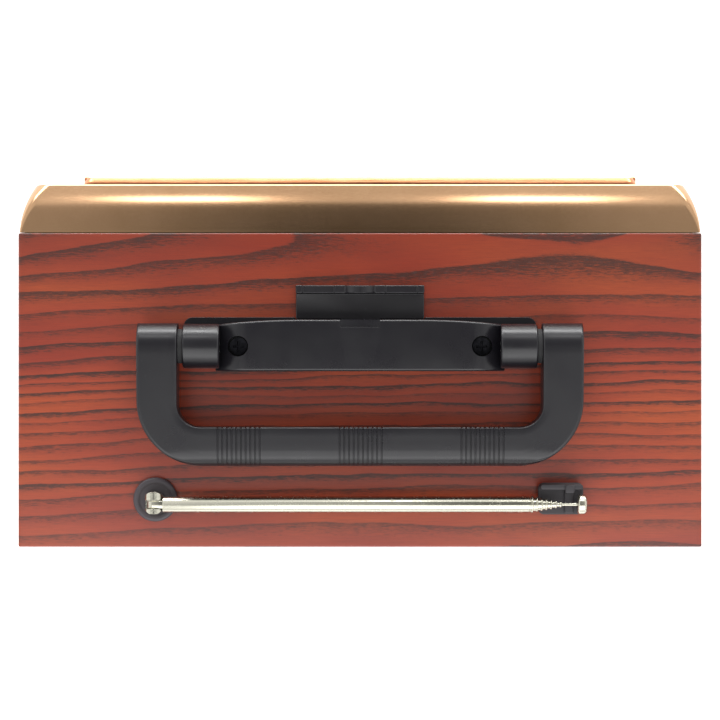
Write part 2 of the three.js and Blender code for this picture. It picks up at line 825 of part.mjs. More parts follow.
// The block's front and rear upper edges are rounded, and its ends fall away to the barrels.
function handleBracket() {
  const bottom = gap + basePlateThickness + gap - pivotHeight;
  const top = bracketHeight - pivotHeight;
  const frontRound = 3;
  const rearRound = 5;
  const rearDrop = 4;
  const fallLength = 14;
  const fallBend = 4;
  const barrelRoot = bracketHalfWidth - 3;
  const notchHeight = 4;
  const side = new THREE.Shape();
  side.moveTo(-bracketFront, bottom);
  side.lineTo(bracketBack, bottom);
  side.lineTo(bracketBack, top - rearDrop);
  side.quadraticCurveTo(bracketBack, top, bracketBack - rearRound, top);
  side.lineTo(-bracketFront + frontRound, top);
  side.quadraticCurveTo(-bracketFront, top, -bracketFront, top - frontRound);
  const ends = new THREE.Shape();
  ends.moveTo(-bracketHalfWidth, bottom);
  ends.lineTo(bracketHalfWidth, bottom);
  ends.lineTo(bracketHalfWidth, top - bracketCornerSlope);
  ends.quadraticCurveTo(bracketHalfWidth - fallBend, top, bracketHalfWidth - fallLength, top);
  ends.lineTo(-bracketHalfWidth + fallLength, top);
  ends.quadraticCurveTo(
    -bracketHalfWidth + fallBend, top, -bracketHalfWidth, top - bracketCornerSlope);
  const body = raised(bracketPlan(bracketHalfWidth), bottom, top)
    .intersect(drawnAcross(side, -bracketHalfWidth, bracketHalfWidth))
    .intersect(carried(ends, -bracketFront - 1, bracketBack + 1));
  const barrels = [-1, 1].map((end) => bar(
    'x', barrelRadius, end > 0 ? barrelRoot : -barrelEnd, end > 0 ? barrelEnd : -barrelRoot,
    0, 0, 40));
  const bores = [-1, 1].map((end) => bar(
    'x', pivotPinRadius + gap, end > 0 ? bracketHalfWidth + 1 : -barrelEnd - 1,
    end > 0 ? barrelEnd + 1 : -bracketHalfWidth - 1, 0, 0, 24));
  const screwCuts = [-1, 1].flatMap((end) => [
    bar('z', counterboreRadius, counterboreFloor - pivotHeight, top + 1, end * screwSpread, 0, 32),
    bar('z', screwShankRadius + gap, bottom - 1, top, end * screwSpread, 0, 16),
  ]);
  const notch = notchCut(bottom - 1, bottom + notchHeight);
  return cutFrom(joined(body, ...barrels), ...bores, ...screwCuts, notch);
}

function bracketBase() {
  const low = gap - pivotHeight;
  const high = low + basePlateThickness;
  const depth = basePlateFront + basePlateBack;
  const outline = roundRectangle(
    2 * barrelEnd + 1, depth, basePlateCorner, 0, (basePlateBack - basePlateFront) / 2);
  const restHalf = restWidth / 2 + gap;
  const restGap = block(-restHalf, restHalf, -basePlateFront - 1, -bracketFront, low - 1, high + 1);
  const holes = [-1, 1].map((end) => bar(
    'z', screwShankRadius + gap, low - 1, high + 1, end * screwSpread, 0, 16));
  return cutFrom(raised(outline, low, high), ...holes, restGap, notchCut(low - 1, high + 1));
}

// A cross-head screw: head in the counterbore, shank down through the cabinet's top.
function bracketScrew() {
  const headLow = counterboreFloor + gap - pivotHeight;
  const headHigh = headLow + screwHeadHeight;
  const head = bar('z', screwHeadRadius, headLow, headHigh, 0, 0, 24);
  const shankLow = -pivotHeight - cabinetWall + 2;
  const shank = bar('z', screwShankRadius, shankLow, headLow + 0.5, 0, 0, 16);
  const slotHalfLength = 2.4;
  const slotHalfWidth = 0.5;
  const slotLow = headHigh - 1.2;
  const cross = joined(
    block(
      -slotHalfLength, slotHalfLength, -slotHalfWidth, slotHalfWidth, slotLow, headHigh + 1),
    block(
      -slotHalfWidth, slotHalfWidth, -slotHalfLength, slotHalfLength, slotLow, headHigh + 1));
  return cutFrom(joined(head, shank), cross);
}

// The phone rest: a floor, a lip with a round scoop in its middle and two shallow dips, and a
// tongue that sits in the notch of the bracket.
function phoneRest() {
  const back = -bracketFront - gap;
  const front = back - restDepth;
  const low = gap - pivotHeight;
  const lipTop = low + restLipHeight;
  const dipWidth = 14;
  const dipDepth = 1.2;
  const dipX = 18.4;
  const floor = block(-restWidth / 2, restWidth / 2, front, back, low, low + restFloor);
  const lip = block(-restWidth / 2, restWidth / 2, front, front + restLip, low, lipTop);
  const tongue = block(
    -notchWidth / 2 + gap, notchWidth / 2 - gap, back - 1, -bracketFront + notchDepth - gap,
    low, low + restFloor);
  const scoop = bar(
    'y', restScoopWidth / 2, front - 1, front + restLip + 1, 0,
    lipTop + restScoopWidth / 2 - restScoopDepth, 32);
  const dips = [-1, 1].map((side) => block(
    side * dipX - dipWidth / 2, side * dipX + dipWidth / 2, front - 1, front + restLip + 1,
    lipTop - dipDepth, lipTop + 1));
  return cutFrom(joined(floor, lip, tongue), scoop, ...dips);
}

// ---- The antenna ----
// x and y are counted from the swivel axis, z from the cabinet's top.

function antennaBase() {
  const edge = 0.8;
  const bore = knucklePostRadius + runningGap;
  return turned([
    [bore, gap], [antennaBaseRadius, gap], [antennaBaseRadius, antennaBaseHeight - edge],
    [antennaBaseRadius - edge, antennaBaseHeight], [bore, antennaBaseHeight], [bore, gap],
  ], 40);
}

// The knuckle is a fork with a post under it, round as seen from above. Its slot takes the
// antenna's flat lug.
function antennaKnuckle() {
  const low = antennaBaseHeight + runningGap;
  const high = antennaAxisHeight + knuckleRadius;
  const slotDeep = 0.6;
  const head = bar('y', knuckleRadius, knuckleFront, knuckleBack, 0, antennaAxisHeight, 32);
  const stem = block(
    -knuckleRadius, knuckleRadius, knuckleFront, knuckleBack, low, antennaAxisHeight);
  const round = bar('z', knucklePlanRadius, low - 1, high + 1, 0, knuckleOffset, 40);
  const fork = joined(head, stem).intersect(round);
  const post = bar('z', knucklePostRadius, gap, low + 1, 0, 0, 24);
  const slotHalf = lugThickness / 2 + gap;
  const slot = block(
    -knuckleRadius - 1, knuckleRadius + 1, antennaOffset - slotHalf, antennaOffset + slotHalf,
    antennaAxisHeight - knuckleRadius - slotDeep, high + 1);
  const pinHole = bar(
    'y', antennaPinRadius + gap, knuckleFront - 1, knuckleBack + 1, 0, antennaAxisHeight, 16);
  return cutFrom(joined(fork, post), slot, pinHole);
}

function antennaPin() {
  return bar(
    'y', antennaPinRadius, knuckleFront + antennaPinInset, knuckleBack - antennaPinInset,
    0, antennaAxisHeight, 16);
}

// The outermost tube ends in a flat lug with a round end about the tilt pin.
function outerSection() {
  const inner = sectionRadius - sectionWall;
  const lugRadius = 2.9;
  const tube = bar(
    'x', sectionRadius, -sectionLength, -tubeStart, antennaOffset, antennaAxisHeight, 24);
  const hollow = bar(
    'x', inner, -sectionLength - 1, -tubeStart - sectionPlug, antennaOffset, antennaAxisHeight, 24);
  const lugFront = antennaOffset - lugThickness / 2;
  const lugBack = antennaOffset + lugThickness / 2;
  const lug = block(
    -tubeStart - 1, 0, lugFront, lugBack,
    antennaAxisHeight - lugRadius, antennaAxisHeight + lugRadius);
  const lugEnd = bar('y', lugRadius, lugFront, lugBack, 0, antennaAxisHeight, 24);
  const pinHole = bar(
    'y', antennaPinRadius + gap, lugFront - 1, lugBack + 1, 0, antennaAxisHeight, 16);
  return cutFrom(joined(tube, lug, lugEnd), hollow, pinHole);
}

// Where a further section starts: clear of the plug and of the section before it.
function sectionStart(index) {
  return -tubeStart - sectionPlug - 1 - index;
}

// Each further section slides in the one before it and shows a little more at its end.
function innerSection(index) {
  const radius = sectionRadius - index * sectionStep;
  const start = sectionStart(index);
  const end = -sectionLength - index * sectionShow;
  const outer = bar('x', radius, end, start, antennaOffset, antennaAxisHeight, 24);
  const hollow = bar(
    'x', radius - sectionWall, end - 1, start + 1, antennaOffset, antennaAxisHeight, 24);
  return cutFrom(outer, hollow);
}

function antennaRod() {
  return bar(
    'x', rodRadius, rodEnd - rodGrip, sectionStart(rodIndex), antennaOffset, antennaAxisHeight, 24);
}

// The tip is a button with a blind bore for the rod's end.
function antennaTip() {
  const boreRadius = rodRadius + gap;
  const boreFloor = tipLength - rodGrip - gap;
  const edge = 0.8;
  const tip = turned([
    [0, 0], [tipRadius - edge, 0], [tipRadius, edge], [tipRadius, tipLength - edge],
    [tipRadius - edge, tipLength], [boreRadius, tipLength], [boreRadius, boreFloor], [0, boreFloor],
  ], 24).rotate([0, 90, 0]);
  return tip.translate([rodEnd - tipLength, antennaOffset, antennaAxisHeight]);
}

// The clip holds the folded antenna: a low block, a saddle under the antenna and a wall in front.
function antennaClip() {
  const corner = 2.5;
  const endInset = 1;
  const sideInset = 0.6;
  const start = -clipStart;
  const end = start - clipLength;
  const front = antennaAxisY - clipFront;
  const back = antennaAxisY + clipBack;
  const middle = (front + back) / 2;
  const outline = roundRectangle(clipLength, back - front, corner, (start + end) / 2, middle);
  const low = raised(outline, gap, clipFloor);
  const wall = block(
    end + endInset, start - endInset, front + sideInset, front + clipWall, gap, clipWallHeight);
  const saddle = block(
    -saddleStart - saddleLength, -saddleStart, front + clipWall - 1, back - sideInset,
    gap, saddleHeight);
  return joined(low, wall, saddle);
}

// ---- Putting it together ----

const radio = new THREE.Group();

const cabinet = new THREE.Group();
cabinet.position.set(0, cabinetCentreY, footHeight);
radio.add(cabinet);
place(cabinet, 'cabinet_sleeve', cabinetSleeve(), wood());

for (const [side, x] of [['left', -1], ['right', 1]]) {
  for (const [end, y] of [['front', -1], ['rear', 1]]) {
    place(
      cabinet, `foot_${end}_${side}`, foot(), rubber(),
      x * (cabinetWidth / 2 - footInset), y * (cabinetDepth / 2 - footInset), -footHeight);
  }
}

const front = new THREE.Group();
front.position.set(0, -cabinetDepth / 2, cabinetHeight / 2);
cabinet.add(front);
place(front, 'front_bezel', frontBezel(), bronze());
place(front, 'front_trim_frame', frontTrim(), copper());
place(front, 'speaker_grille', speakerGrille(), blackPlastic());
place(front, 'speaker_cloth', speakerCloth(), cloth());
place(front, 'baffle_board', baffleBoard(), fibreboard());
place(front, 'control_panel', controlPanel(), glossBlack());
place(front, 'dial_window', dialWindow(), clearPlastic());
place(front, 'dial_scale', dialScale(), creamPaint());
place(front, 'dial_pointer', dialPointer(), copper());
place(front, 'front_circuit_board', frontBoard(), board());
place(front, 'volume_potentiometer', potentiometer(), steel(), -knobX, 0, knobZ);
place(front, 'volume_shaft', knobShaft(), steel(), -knobX, 0, knobZ);
place(front, 'volume_knob', knob(), bronze(), -knobX, 0, knobZ);
place(front, 'tuning_capacitor', tuningCapacitor(), steel(), knobX, 0, knobZ);
place(front, 'tuning_shaft', knobShaft(), steel(), knobX, 0, knobZ);
place(front, 'tuning_knob', knob(), bronze(), knobX, 0, knobZ);
const buttonNames = ['power', 'band_am', 'band_fm', 'band_sw', 'tone'];
buttonPlaces().forEach((x, index) => {
  place(front, `${buttonNames[index]}_button`, pushButton(), blackPlastic(), x, 0, buttonZ);
});
for (const [side, x] of [['left', -1], ['right', 1]]) {
  const y = -basketBack;
  place(front, `${side}_speaker_basket`, speakerBasket(), steel(), x * speakerSpread, y, grilleZ);
  place(front, `${side}_speaker_cone`, speakerCone(), paper(), x * speakerSpread, y, grilleZ);
}

place(cabinet, 'main_circuit_board', mainBoard(), board(), mainBoardX, 0, boardLift);
place(
  cabinet, 'mains_transformer', transformer(), steel(),
  transformerX, transformerY, boardLift + boardThickness + gap);
place(
  cabinet, 'ferrite_rod', bar('x', ferriteRadius, -ferriteHalf, ferriteHalf, 0, 0, 20), rubber(),
  0, cabinetDepth / 2 - ferriteRearInset, cabinetHeight - cabinetWall - ferriteDrop);

const rear = new THREE.Group();
rear.position.set(0, cabinetDepth / 2, 0);
cabinet.add(rear);
place(rear, 'rear_panel', rearPanel(), blackPlastic());
place(rear, 'battery_door', batteryDoor(), blackPlastic());
place(rear, 'battery_holder', batteryHolder(), blackPlastic(), doorCentre, panelInner - gap, doorRise);
place(rear, 'bass_port', bassPort(), blackPlastic());
place(rear, 'mains_inlet', mainsInlet(), blackPlastic());
place(rear, 'line_in_socket', lineSocket(), blackPlastic());

const pivotLine = new THREE.Group();
pivotLine.position.set(0, handleAxisY, cabinetHeight + pivotHeight);
cabinet.add(pivotLine);
place(pivotLine, 'handle_grip', handleGrip(), blackPlastic());
place(pivotLine, 'handle_bracket', handleBracket(), blackPlastic());
place(pivotLine, 'bracket_base', bracketBase(), blackPlastic());
place(pivotLine, 'phone_rest', phoneRest(), blackPlastic());
place(pivotLine, 'handle_pin_right', pivotPin(), steel());
place(pivotLine, 'handle_pin_left', pivotPin().rotate([0, 0, 180]), steel());
place(pivotLine, 'bracket_screw_right', bracketScrew(), steel(), screwSpread);
place(pivotLine, 'bracket_screw_left', bracketScrew(), steel(), -screwSpread);

const swivel = new THREE.Group();
swivel.position.set(antennaX, antennaY, cabinetHeight);
cabinet.add(swivel);
place(swivel, 'antenna_base', antennaBase(), blackPlastic());
place(swivel, 'antenna_knuckle', antennaKnuckle(), chrome());
place(swivel, 'antenna_pin', antennaPin(), chrome());
place(swivel, 'antenna_section_1', outerSection(), chrome());
for (let index = 1; index < rodIndex; index += 1) {
  place(swivel, `antenna_section_${index + 1}`, innerSection(index), chrome());
}
place(swivel, 'antenna_rod', antennaRod(), chrome());
place(swivel, 'antenna_tip', antennaTip(), chrome());

const top = new THREE.Group();
top.position.set(0, 0, cabinetHeight);
cabinet.add(top);
place(top, 'antenna_clip', antennaClip(), blackPlastic());

export default radio;
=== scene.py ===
"""Tabletop radio with a wooden cabinet, a folding handle and a telescopic antenna.

Every length is in metres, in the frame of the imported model: the front faces -Y and +Z is up."""
import math

import bmesh
import bpy
import numpy as np
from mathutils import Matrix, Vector


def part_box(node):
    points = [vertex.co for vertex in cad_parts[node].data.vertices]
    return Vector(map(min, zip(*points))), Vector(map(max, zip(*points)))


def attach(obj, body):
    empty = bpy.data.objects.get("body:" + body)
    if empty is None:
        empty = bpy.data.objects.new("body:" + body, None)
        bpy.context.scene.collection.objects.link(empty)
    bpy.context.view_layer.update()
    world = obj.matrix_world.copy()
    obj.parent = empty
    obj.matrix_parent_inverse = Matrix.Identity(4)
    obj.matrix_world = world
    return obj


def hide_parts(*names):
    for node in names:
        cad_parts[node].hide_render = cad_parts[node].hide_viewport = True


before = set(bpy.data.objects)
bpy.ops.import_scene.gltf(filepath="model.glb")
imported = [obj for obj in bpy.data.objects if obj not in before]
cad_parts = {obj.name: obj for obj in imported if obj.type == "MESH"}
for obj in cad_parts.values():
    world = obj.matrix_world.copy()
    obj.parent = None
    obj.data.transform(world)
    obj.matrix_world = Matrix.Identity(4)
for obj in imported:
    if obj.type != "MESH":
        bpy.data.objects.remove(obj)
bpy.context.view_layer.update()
MM = 0.001
PI = math.pi
ROOT = "cabinet"


# ---- Placing and shaping ----

def corners(node):
    """Lowest and highest corner of a node as arrays, and its middle."""
    low, high = (np.array(corner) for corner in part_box(node))
    return low, high, (low + high) / 2


def grid(points, wrap=True, ends=True, ring=False):
    """Quads between neighbours of a grid of points [row, column, xyz]. wrap joins the last column
    to the first, ring joins the last row to the first, ends closes the outer rows with a face."""
    rows, columns = points.shape[:2]
    index = np.arange(rows * columns).reshape(rows, columns)
    if wrap:
        index = np.concatenate([index, index[:, :1]], axis=1)
    if ring:
        index = np.concatenate([index, index[:1]], axis=0)
    corner_lists = [index[:-1, :-1], index[:-1, 1:], index[1:, 1:], index[1:, :-1]]
    faces = np.stack(corner_lists, axis=-1).reshape(-1, 4).tolist()
    if ends and not ring:
        faces += [index[0, :columns].tolist(), index[-1, :columns].tolist()]
    return points.reshape(-1, 3), faces


def spun(profile, centre, axis, turns=64, ring=False):
    """A profile of (radius, distance along the axis) turned about the axis through centre:
    point = centre + along * axis + radius * (cos a * side + sin a * up)."""
    profile = np.asarray(profile, float)
    axis = np.asarray(axis, float)
    side = np.array([0.0, 0.0, 1.0]) if abs(axis[2]) < 0.5 else np.array([1.0, 0.0, 0.0])
    up = np.cross(axis, side)
    angles = np.linspace(0, 2 * PI, turns, endpoint=False)
    around = np.cos(angles)[:, None] * side + np.sin(angles)[:, None] * up
    points = (np.asarray(centre, float) + profile[:, None, 1:] * axis
              + profile[:, None, :1] * around[None])
    return grid(points, ends=False, ring=ring)


def eased(points, radius, steps=5, closed=False):
    """An outline whose corners are rounded: each corner gives way to a curve that leaves one side
    at the given distance and meets the next side at the same distance."""
    points = np.asarray(points, float)
    count = len(points)
    picked = []
    weights = np.linspace(0, 1, steps + 1)[:, None]
    for index in range(count):
        here = points[index]
        if not closed and index in (0, count - 1):
            picked.append(here[None])
            continue
        before, after = points[index - 1] - here, points[(index + 1) % count] - here
        reach = min(radius, 0.45 * np.linalg.norm(before), 0.45 * np.linalg.norm(after))
        start = here + before / max(np.linalg.norm(before), 1e-9) * reach
        end = here + after / max(np.linalg.norm(after), 1e-9) * reach
        picked.append((1 - weights) ** 2 * start + 2 * weights * (1 - weights) * here
                      + weights ** 2 * end)
    return np.concatenate(picked)


def round_loop(width, height, radius, turns=6):
    """A rectangle with a quarter circle at each corner, as points (a, b) about its middle."""
    quarter = np.linspace(0, PI / 2, turns + 1)
    loops = []
    for index, (side, rise) in enumerate([(1, 1), (-1, 1), (-1, -1), (1, -1)]):
        angles = quarter + index * PI / 2
        loops.append(np.stack([side * (width / 2 - radius) + radius * np.cos(angles),
                               rise * (height / 2 - radius) + radius * np.sin(angles)], axis=1))
    return np.concatenate(loops)


def laid(pairs, along, axis):
    """Points (a, b) at a distance along an axis, as xyz. a and b are the other two coordinates."""
    flat = np.empty(pairs.shape[:-1] + (3,))
    others = [number for number in range(3) if number != axis]
    flat[..., others[0]] = pairs[..., 0]
    flat[..., others[1]] = pairs[..., 1]
    flat[..., axis] = along
    return flat


def soft_block(low, high, corner, edge, axis=2, steps=4):
    """A block between two corners: rings of a rectangle with round corners, stacked along an axis.
    Near both ends a ring is set in by edge * (1 - sin a) at a height of edge * (1 - cos a)."""
    low, high = np.asarray(low, float), np.asarray(high, float)
    others = [number for number in range(3) if number != axis]
    size, middle = high - low, (low + high) / 2
    angles = np.linspace(0, PI / 2, steps + 1)
    insets = edge * (1 - np.sin(angles))
    rises = edge * (1 - np.cos(angles))
    levels = list(zip(insets, low[axis] + rises)) + list(zip(insets[::-1], high[axis] - rises[::-1]))
    rings = []
    for inset, level in levels:
        loop = round_loop(size[others[0]] - 2 * inset, size[others[1]] - 2 * inset,
                          max(corner - inset, 0.05 * MM), 5)
        rings.append(laid(loop + middle[others], level, axis))
    return grid(np.stack(rings))


def carried_round(section, width, height, radius, centre, axis, turns=6):
    """A closed section of (inset, depth) points carried round a rectangle with round corners. The
    inset is counted inwards from the rectangle's edge, and the depth along the axis."""
    others = [number for number in range(3) if number != axis]
    rings = []
    for inset, depth in section:
        loop = round_loop(width - 2 * inset, height - 2 * inset, max(radius - inset, 0.2 * MM), turns)
        rings.append(laid(loop + np.asarray(centre)[others], depth, axis))
    return grid(np.stack(rings), ring=True)


def mesh_of(name, shapes, sharp=35):
    """One mesh from several shapes: doubles merged, faces turned outwards, smooth up to an angle."""
    vertices, faces, start = [], [], 0
    for points, quads in shapes:
        vertices.append(points)
        faces += [[number + start for number in face] for face in quads]
        start += len(points)
    mesh = bpy.data.meshes.new(name)
    mesh.from_pydata(np.concatenate(vertices).tolist(), [], faces)
    body = bmesh.new()
    body.from_mesh(mesh)
    bmesh.ops.remove_doubles(body, verts=body.verts, dist=0.002 * MM)
    bmesh.ops.dissolve_degenerate(body, edges=body.edges, dist=0.002 * MM)
    bmesh.ops.recalc_face_normals(body, faces=body.faces)
    body.to_mesh(mesh)
    body.free()
    mesh.shade_smooth()
    mesh.set_sharp_from_angle(angle=math.radians(sharp))
    return mesh


def add_piece(name, mesh, finish, body, replaces=()):
    """Links a mesh as a piece that rides a body, takes a finish and stands for CAD nodes."""
    obj = bpy.data.objects.new(name, mesh)
    bpy.context.scene.collection.objects.link(obj)
    mesh.materials.clear()
    mesh.materials.append(finish)
    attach(obj, body)
    if replaces:
        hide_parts(*replaces)
    return obj


def piece(name, shapes, finish, body, replaces=(), sharp=35):
    """A piece made straight from its shapes."""
    return add_piece(name, mesh_of(name, shapes, sharp), finish, body, replaces)


def cut_mesh(name, base, cutters, sharp=35):
    """A mesh with the cutting meshes taken out of it by exact boolean cuts."""
    collection = bpy.context.scene.collection
    whole = bpy.data.objects.new(name, base)
    collection.objects.link(whole)
    tools = []
    for number, cutter in enumerate(cutters):
        tool = bpy.data.objects.new(f"{name}_cutter_{number}", cutter)
        collection.objects.link(tool)
        modifier = whole.modifiers.new("cut", "BOOLEAN")
        modifier.operation = "DIFFERENCE"
        modifier.solver = "EXACT"
        modifier.object = tool
        tools.append(tool)
    graph = bpy.context.evaluated_depsgraph_get()
    result = bpy.data.meshes.new_from_object(whole.evaluated_get(graph))
    for obj in [whole, *tools]:
        bpy.data.objects.remove(obj)
    result.name = name
    result.shade_smooth()
    result.set_sharp_from_angle(angle=math.radians(sharp))
    return result


def softened_node(node, finish, body, width=0.25, angle=32):
    """A copy of a CAD node with its edges rounded: doubles merged, flat faces joined, then a bevel."""
    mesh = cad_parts[node].data.copy()
    body_mesh = bmesh.new()
    body_mesh.from_mesh(mesh)
    bmesh.ops.remove_doubles(body_mesh, verts=body_mesh.verts, dist=0.002 * MM)
    bmesh.ops.dissolve_limit(body_mesh, angle_limit=math.radians(1), verts=body_mesh.verts,
                             edges=body_mesh.edges)
    body_mesh.to_mesh(mesh)
    body_mesh.free()
    mesh.shade_smooth()
    mesh.set_sharp_from_angle(angle=math.radians(angle))
    obj = add_piece(f"{node}_finished", mesh, finish, body, [node])
    bevel = obj.modifiers.new("rounded_edges", "BEVEL")
    bevel.width = width * MM
    bevel.segments = 2
    bevel.limit_method = "ANGLE"
    bevel.angle_limit = math.radians(angle)
    bevel.harden_normals = True
    return obj


# ---- Materials ----

def colour(hex_code):
    """An sRGB hex value as linear light: c / 12.92 below 0.04045, else ((c + 0.055) / 1.055) ** 2.4."""
    values = [int(hex_code[start:start + 2], 16) / 255 for start in (1, 3, 5)]
    return tuple(v / 12.92 if v <= 0.04045 else ((v + 0.055) / 1.055) ** 2.4 for v in values) + (1,)


def fill(tree, node, inputs):
    """Fills a node's inputs, given by name or in their order, with numbers, colours or links. A node
    stands for the first of its outputs that is in use."""
    for key, value in inputs.items() if isinstance(inputs, dict) else enumerate(inputs):
        if isinstance(value, bpy.types.Node):
            value = next(socket for socket in value.outputs if socket.enabled)
        if isinstance(value, bpy.types.NodeSocket):
            tree.links.new(value, node.inputs[key])
        else:
            node.inputs[key].default_value = value


def add(tree, kind, inputs=(), stops=(), **settings):
    """Adds a node, sets its properties, a ramp's (place, hex) stops and its inputs."""
    node = tree.nodes.new("ShaderNode" + kind)
    for key, value in settings.items():
        setattr(node, key, value)
    for _ in stops[2:]:
        node.color_ramp.elements.new(0.5)
    for number, (place, code) in enumerate(stops):
        node.color_ramp.elements[number].position = place
        node.color_ramp.elements[number].color = colour(code)
    fill(tree, node, inputs)
    return node


def new_finish(name, **values):
    """A material with one Principled shader, whose uniform values are set on its own sockets."""
    finish = bpy.data.materials.new(name)
    finish.use_nodes = True
    tree = finish.node_tree
    shader = tree.nodes["Principled BSDF"]
    fill(tree, shader, {key.replace("_", " "): value for key, value in values.items()})
    return finish, tree, shader


# A pattern's scale is in cells per millimetre. The veneer's own map is in millimetres already.

# Growth rings of the veneer, counted in millimetres from the cabinet's front edge. Where the tree's
# rings run out at the front they bow into long tongues, and further back they lie straight.
RING_EDGES = ((-40, -8.3), (7, -2), (23, 0), (39, 2), (53, 4), (59, 5), (67, 7), (79.5, 10), (90, 12),
              (107, 15), (120, 17), (139, 19), (200, 25))
TONGUE_RISE = 25.0
TONGUE_REACH = 15.2
TONGUE_TIP = -94.0
TONGUE_RIGHT = 190.0
TONGUE_LEFT = 80.0
LEAN = -0.012
LEAN_FROM = -71.0
DROOP = -0.0003
DROOP_FROM = 60.0

# Patterns of the veneer: cells per millimetre along and across the grain, detail and roughness.
GRAIN = {
    "wave": ((0.012, 0.06, 1), 2.0, 0.5),
    "fine_wave": ((0.05, 0.25, 1), 3.0, 0.5),
    "ragged": ((0.12, 1.6, 1), 4.0, 0.65),
    "streak": ((0.3, 6.0, 1), 3.0, 0.6),
    "blotch": ((0.008, 0.03, 1), 2.0, 0.5),
    "fibre": ((0.08, 2.6, 1), 4.0, 0.7),
    "pores": ((0.35, 9.0, 1), 2.0, 0.5),
}


def veneer_rings(tree, across, back):
    """Ring field at a point: the distance back from the front edge plus a bow that fades with it,
    bow = rise * exp(-(across / half width) ** 2) * exp(-back / reach), a lean and a droop."""
    from_tip = add(tree, "Math", (across, -TONGUE_TIP), operation="ADD")
    right = add(tree, "Math", (from_tip, 0.0), operation="MAXIMUM")
    right = add(tree, "Math", (right, TONGUE_RIGHT), operation="DIVIDE")
    right = add(tree, "Math", (right, 2.0), operation="POWER")
    left = add(tree, "Math", (from_tip, 0.0), operation="MINIMUM")
    left = add(tree, "Math", (left, TONGUE_LEFT), operation="DIVIDE")
    left = add(tree, "Math", (left, left), operation="MULTIPLY")
    squared = add(tree, "Math", (right, left), operation="ADD")
    hill = add(tree, "Math", (squared, -1.0), operation="MULTIPLY")
    hill = add(tree, "Math", (hill, 0.0), operation="EXPONENT")
    fade = add(tree, "Math", (back, -TONGUE_REACH), operation="DIVIDE")
    fade = add(tree, "Math", (fade, 0.0), operation="EXPONENT")
    bow = add(tree, "Math", (hill, fade), operation="MULTIPLY")
    bow = add(tree, "Math", (bow, TONGUE_RISE), operation="MULTIPLY")
    lean = add(tree, "Math", (across, -LEAN_FROM), operation="ADD")
    lean = add(tree, "Math", (lean, LEAN), operation="MULTIPLY")
    edge = add(tree, "Math", (across, DROOP_FROM), operation="SUBTRACT")
    edge = add(tree, "Math", (edge, 0.0), operation="MAXIMUM")
    droop = add(tree, "Math", (edge, edge), operation="MULTIPLY")
    droop = add(tree, "Math", (droop, DROOP), operation="MULTIPLY")
    level = add(tree, "Math", (back, bow), operation="ADD")
    level = add(tree, "Math", (level, lean), operation="ADD")
    return add(tree, "Math", (level, droop), operation="ADD")


def ring_count(tree, field):
    """The ring field sent through a curve of ring edges, because the rings are wide at the front,
    close in the middle and wide at the back."""
    (low, first), (high, last) = RING_EDGES[0], RING_EDGES[-1]
    curve = add(tree, "FloatCurve", {"Value": add(tree, "MapRange", (field, low, high, 0, 1))})
    for place, count in RING_EDGES[1:-1]:
        curve.mapping.curves[0].points.new((place - low) / (high - low),
                                           (count - first) / (last - first))
    curve.mapping.update()
    count = add(tree, "Math", (curve, last - first), operation="MULTIPLY")
    return add(tree, "Math", (count, first + 10), operation="ADD")


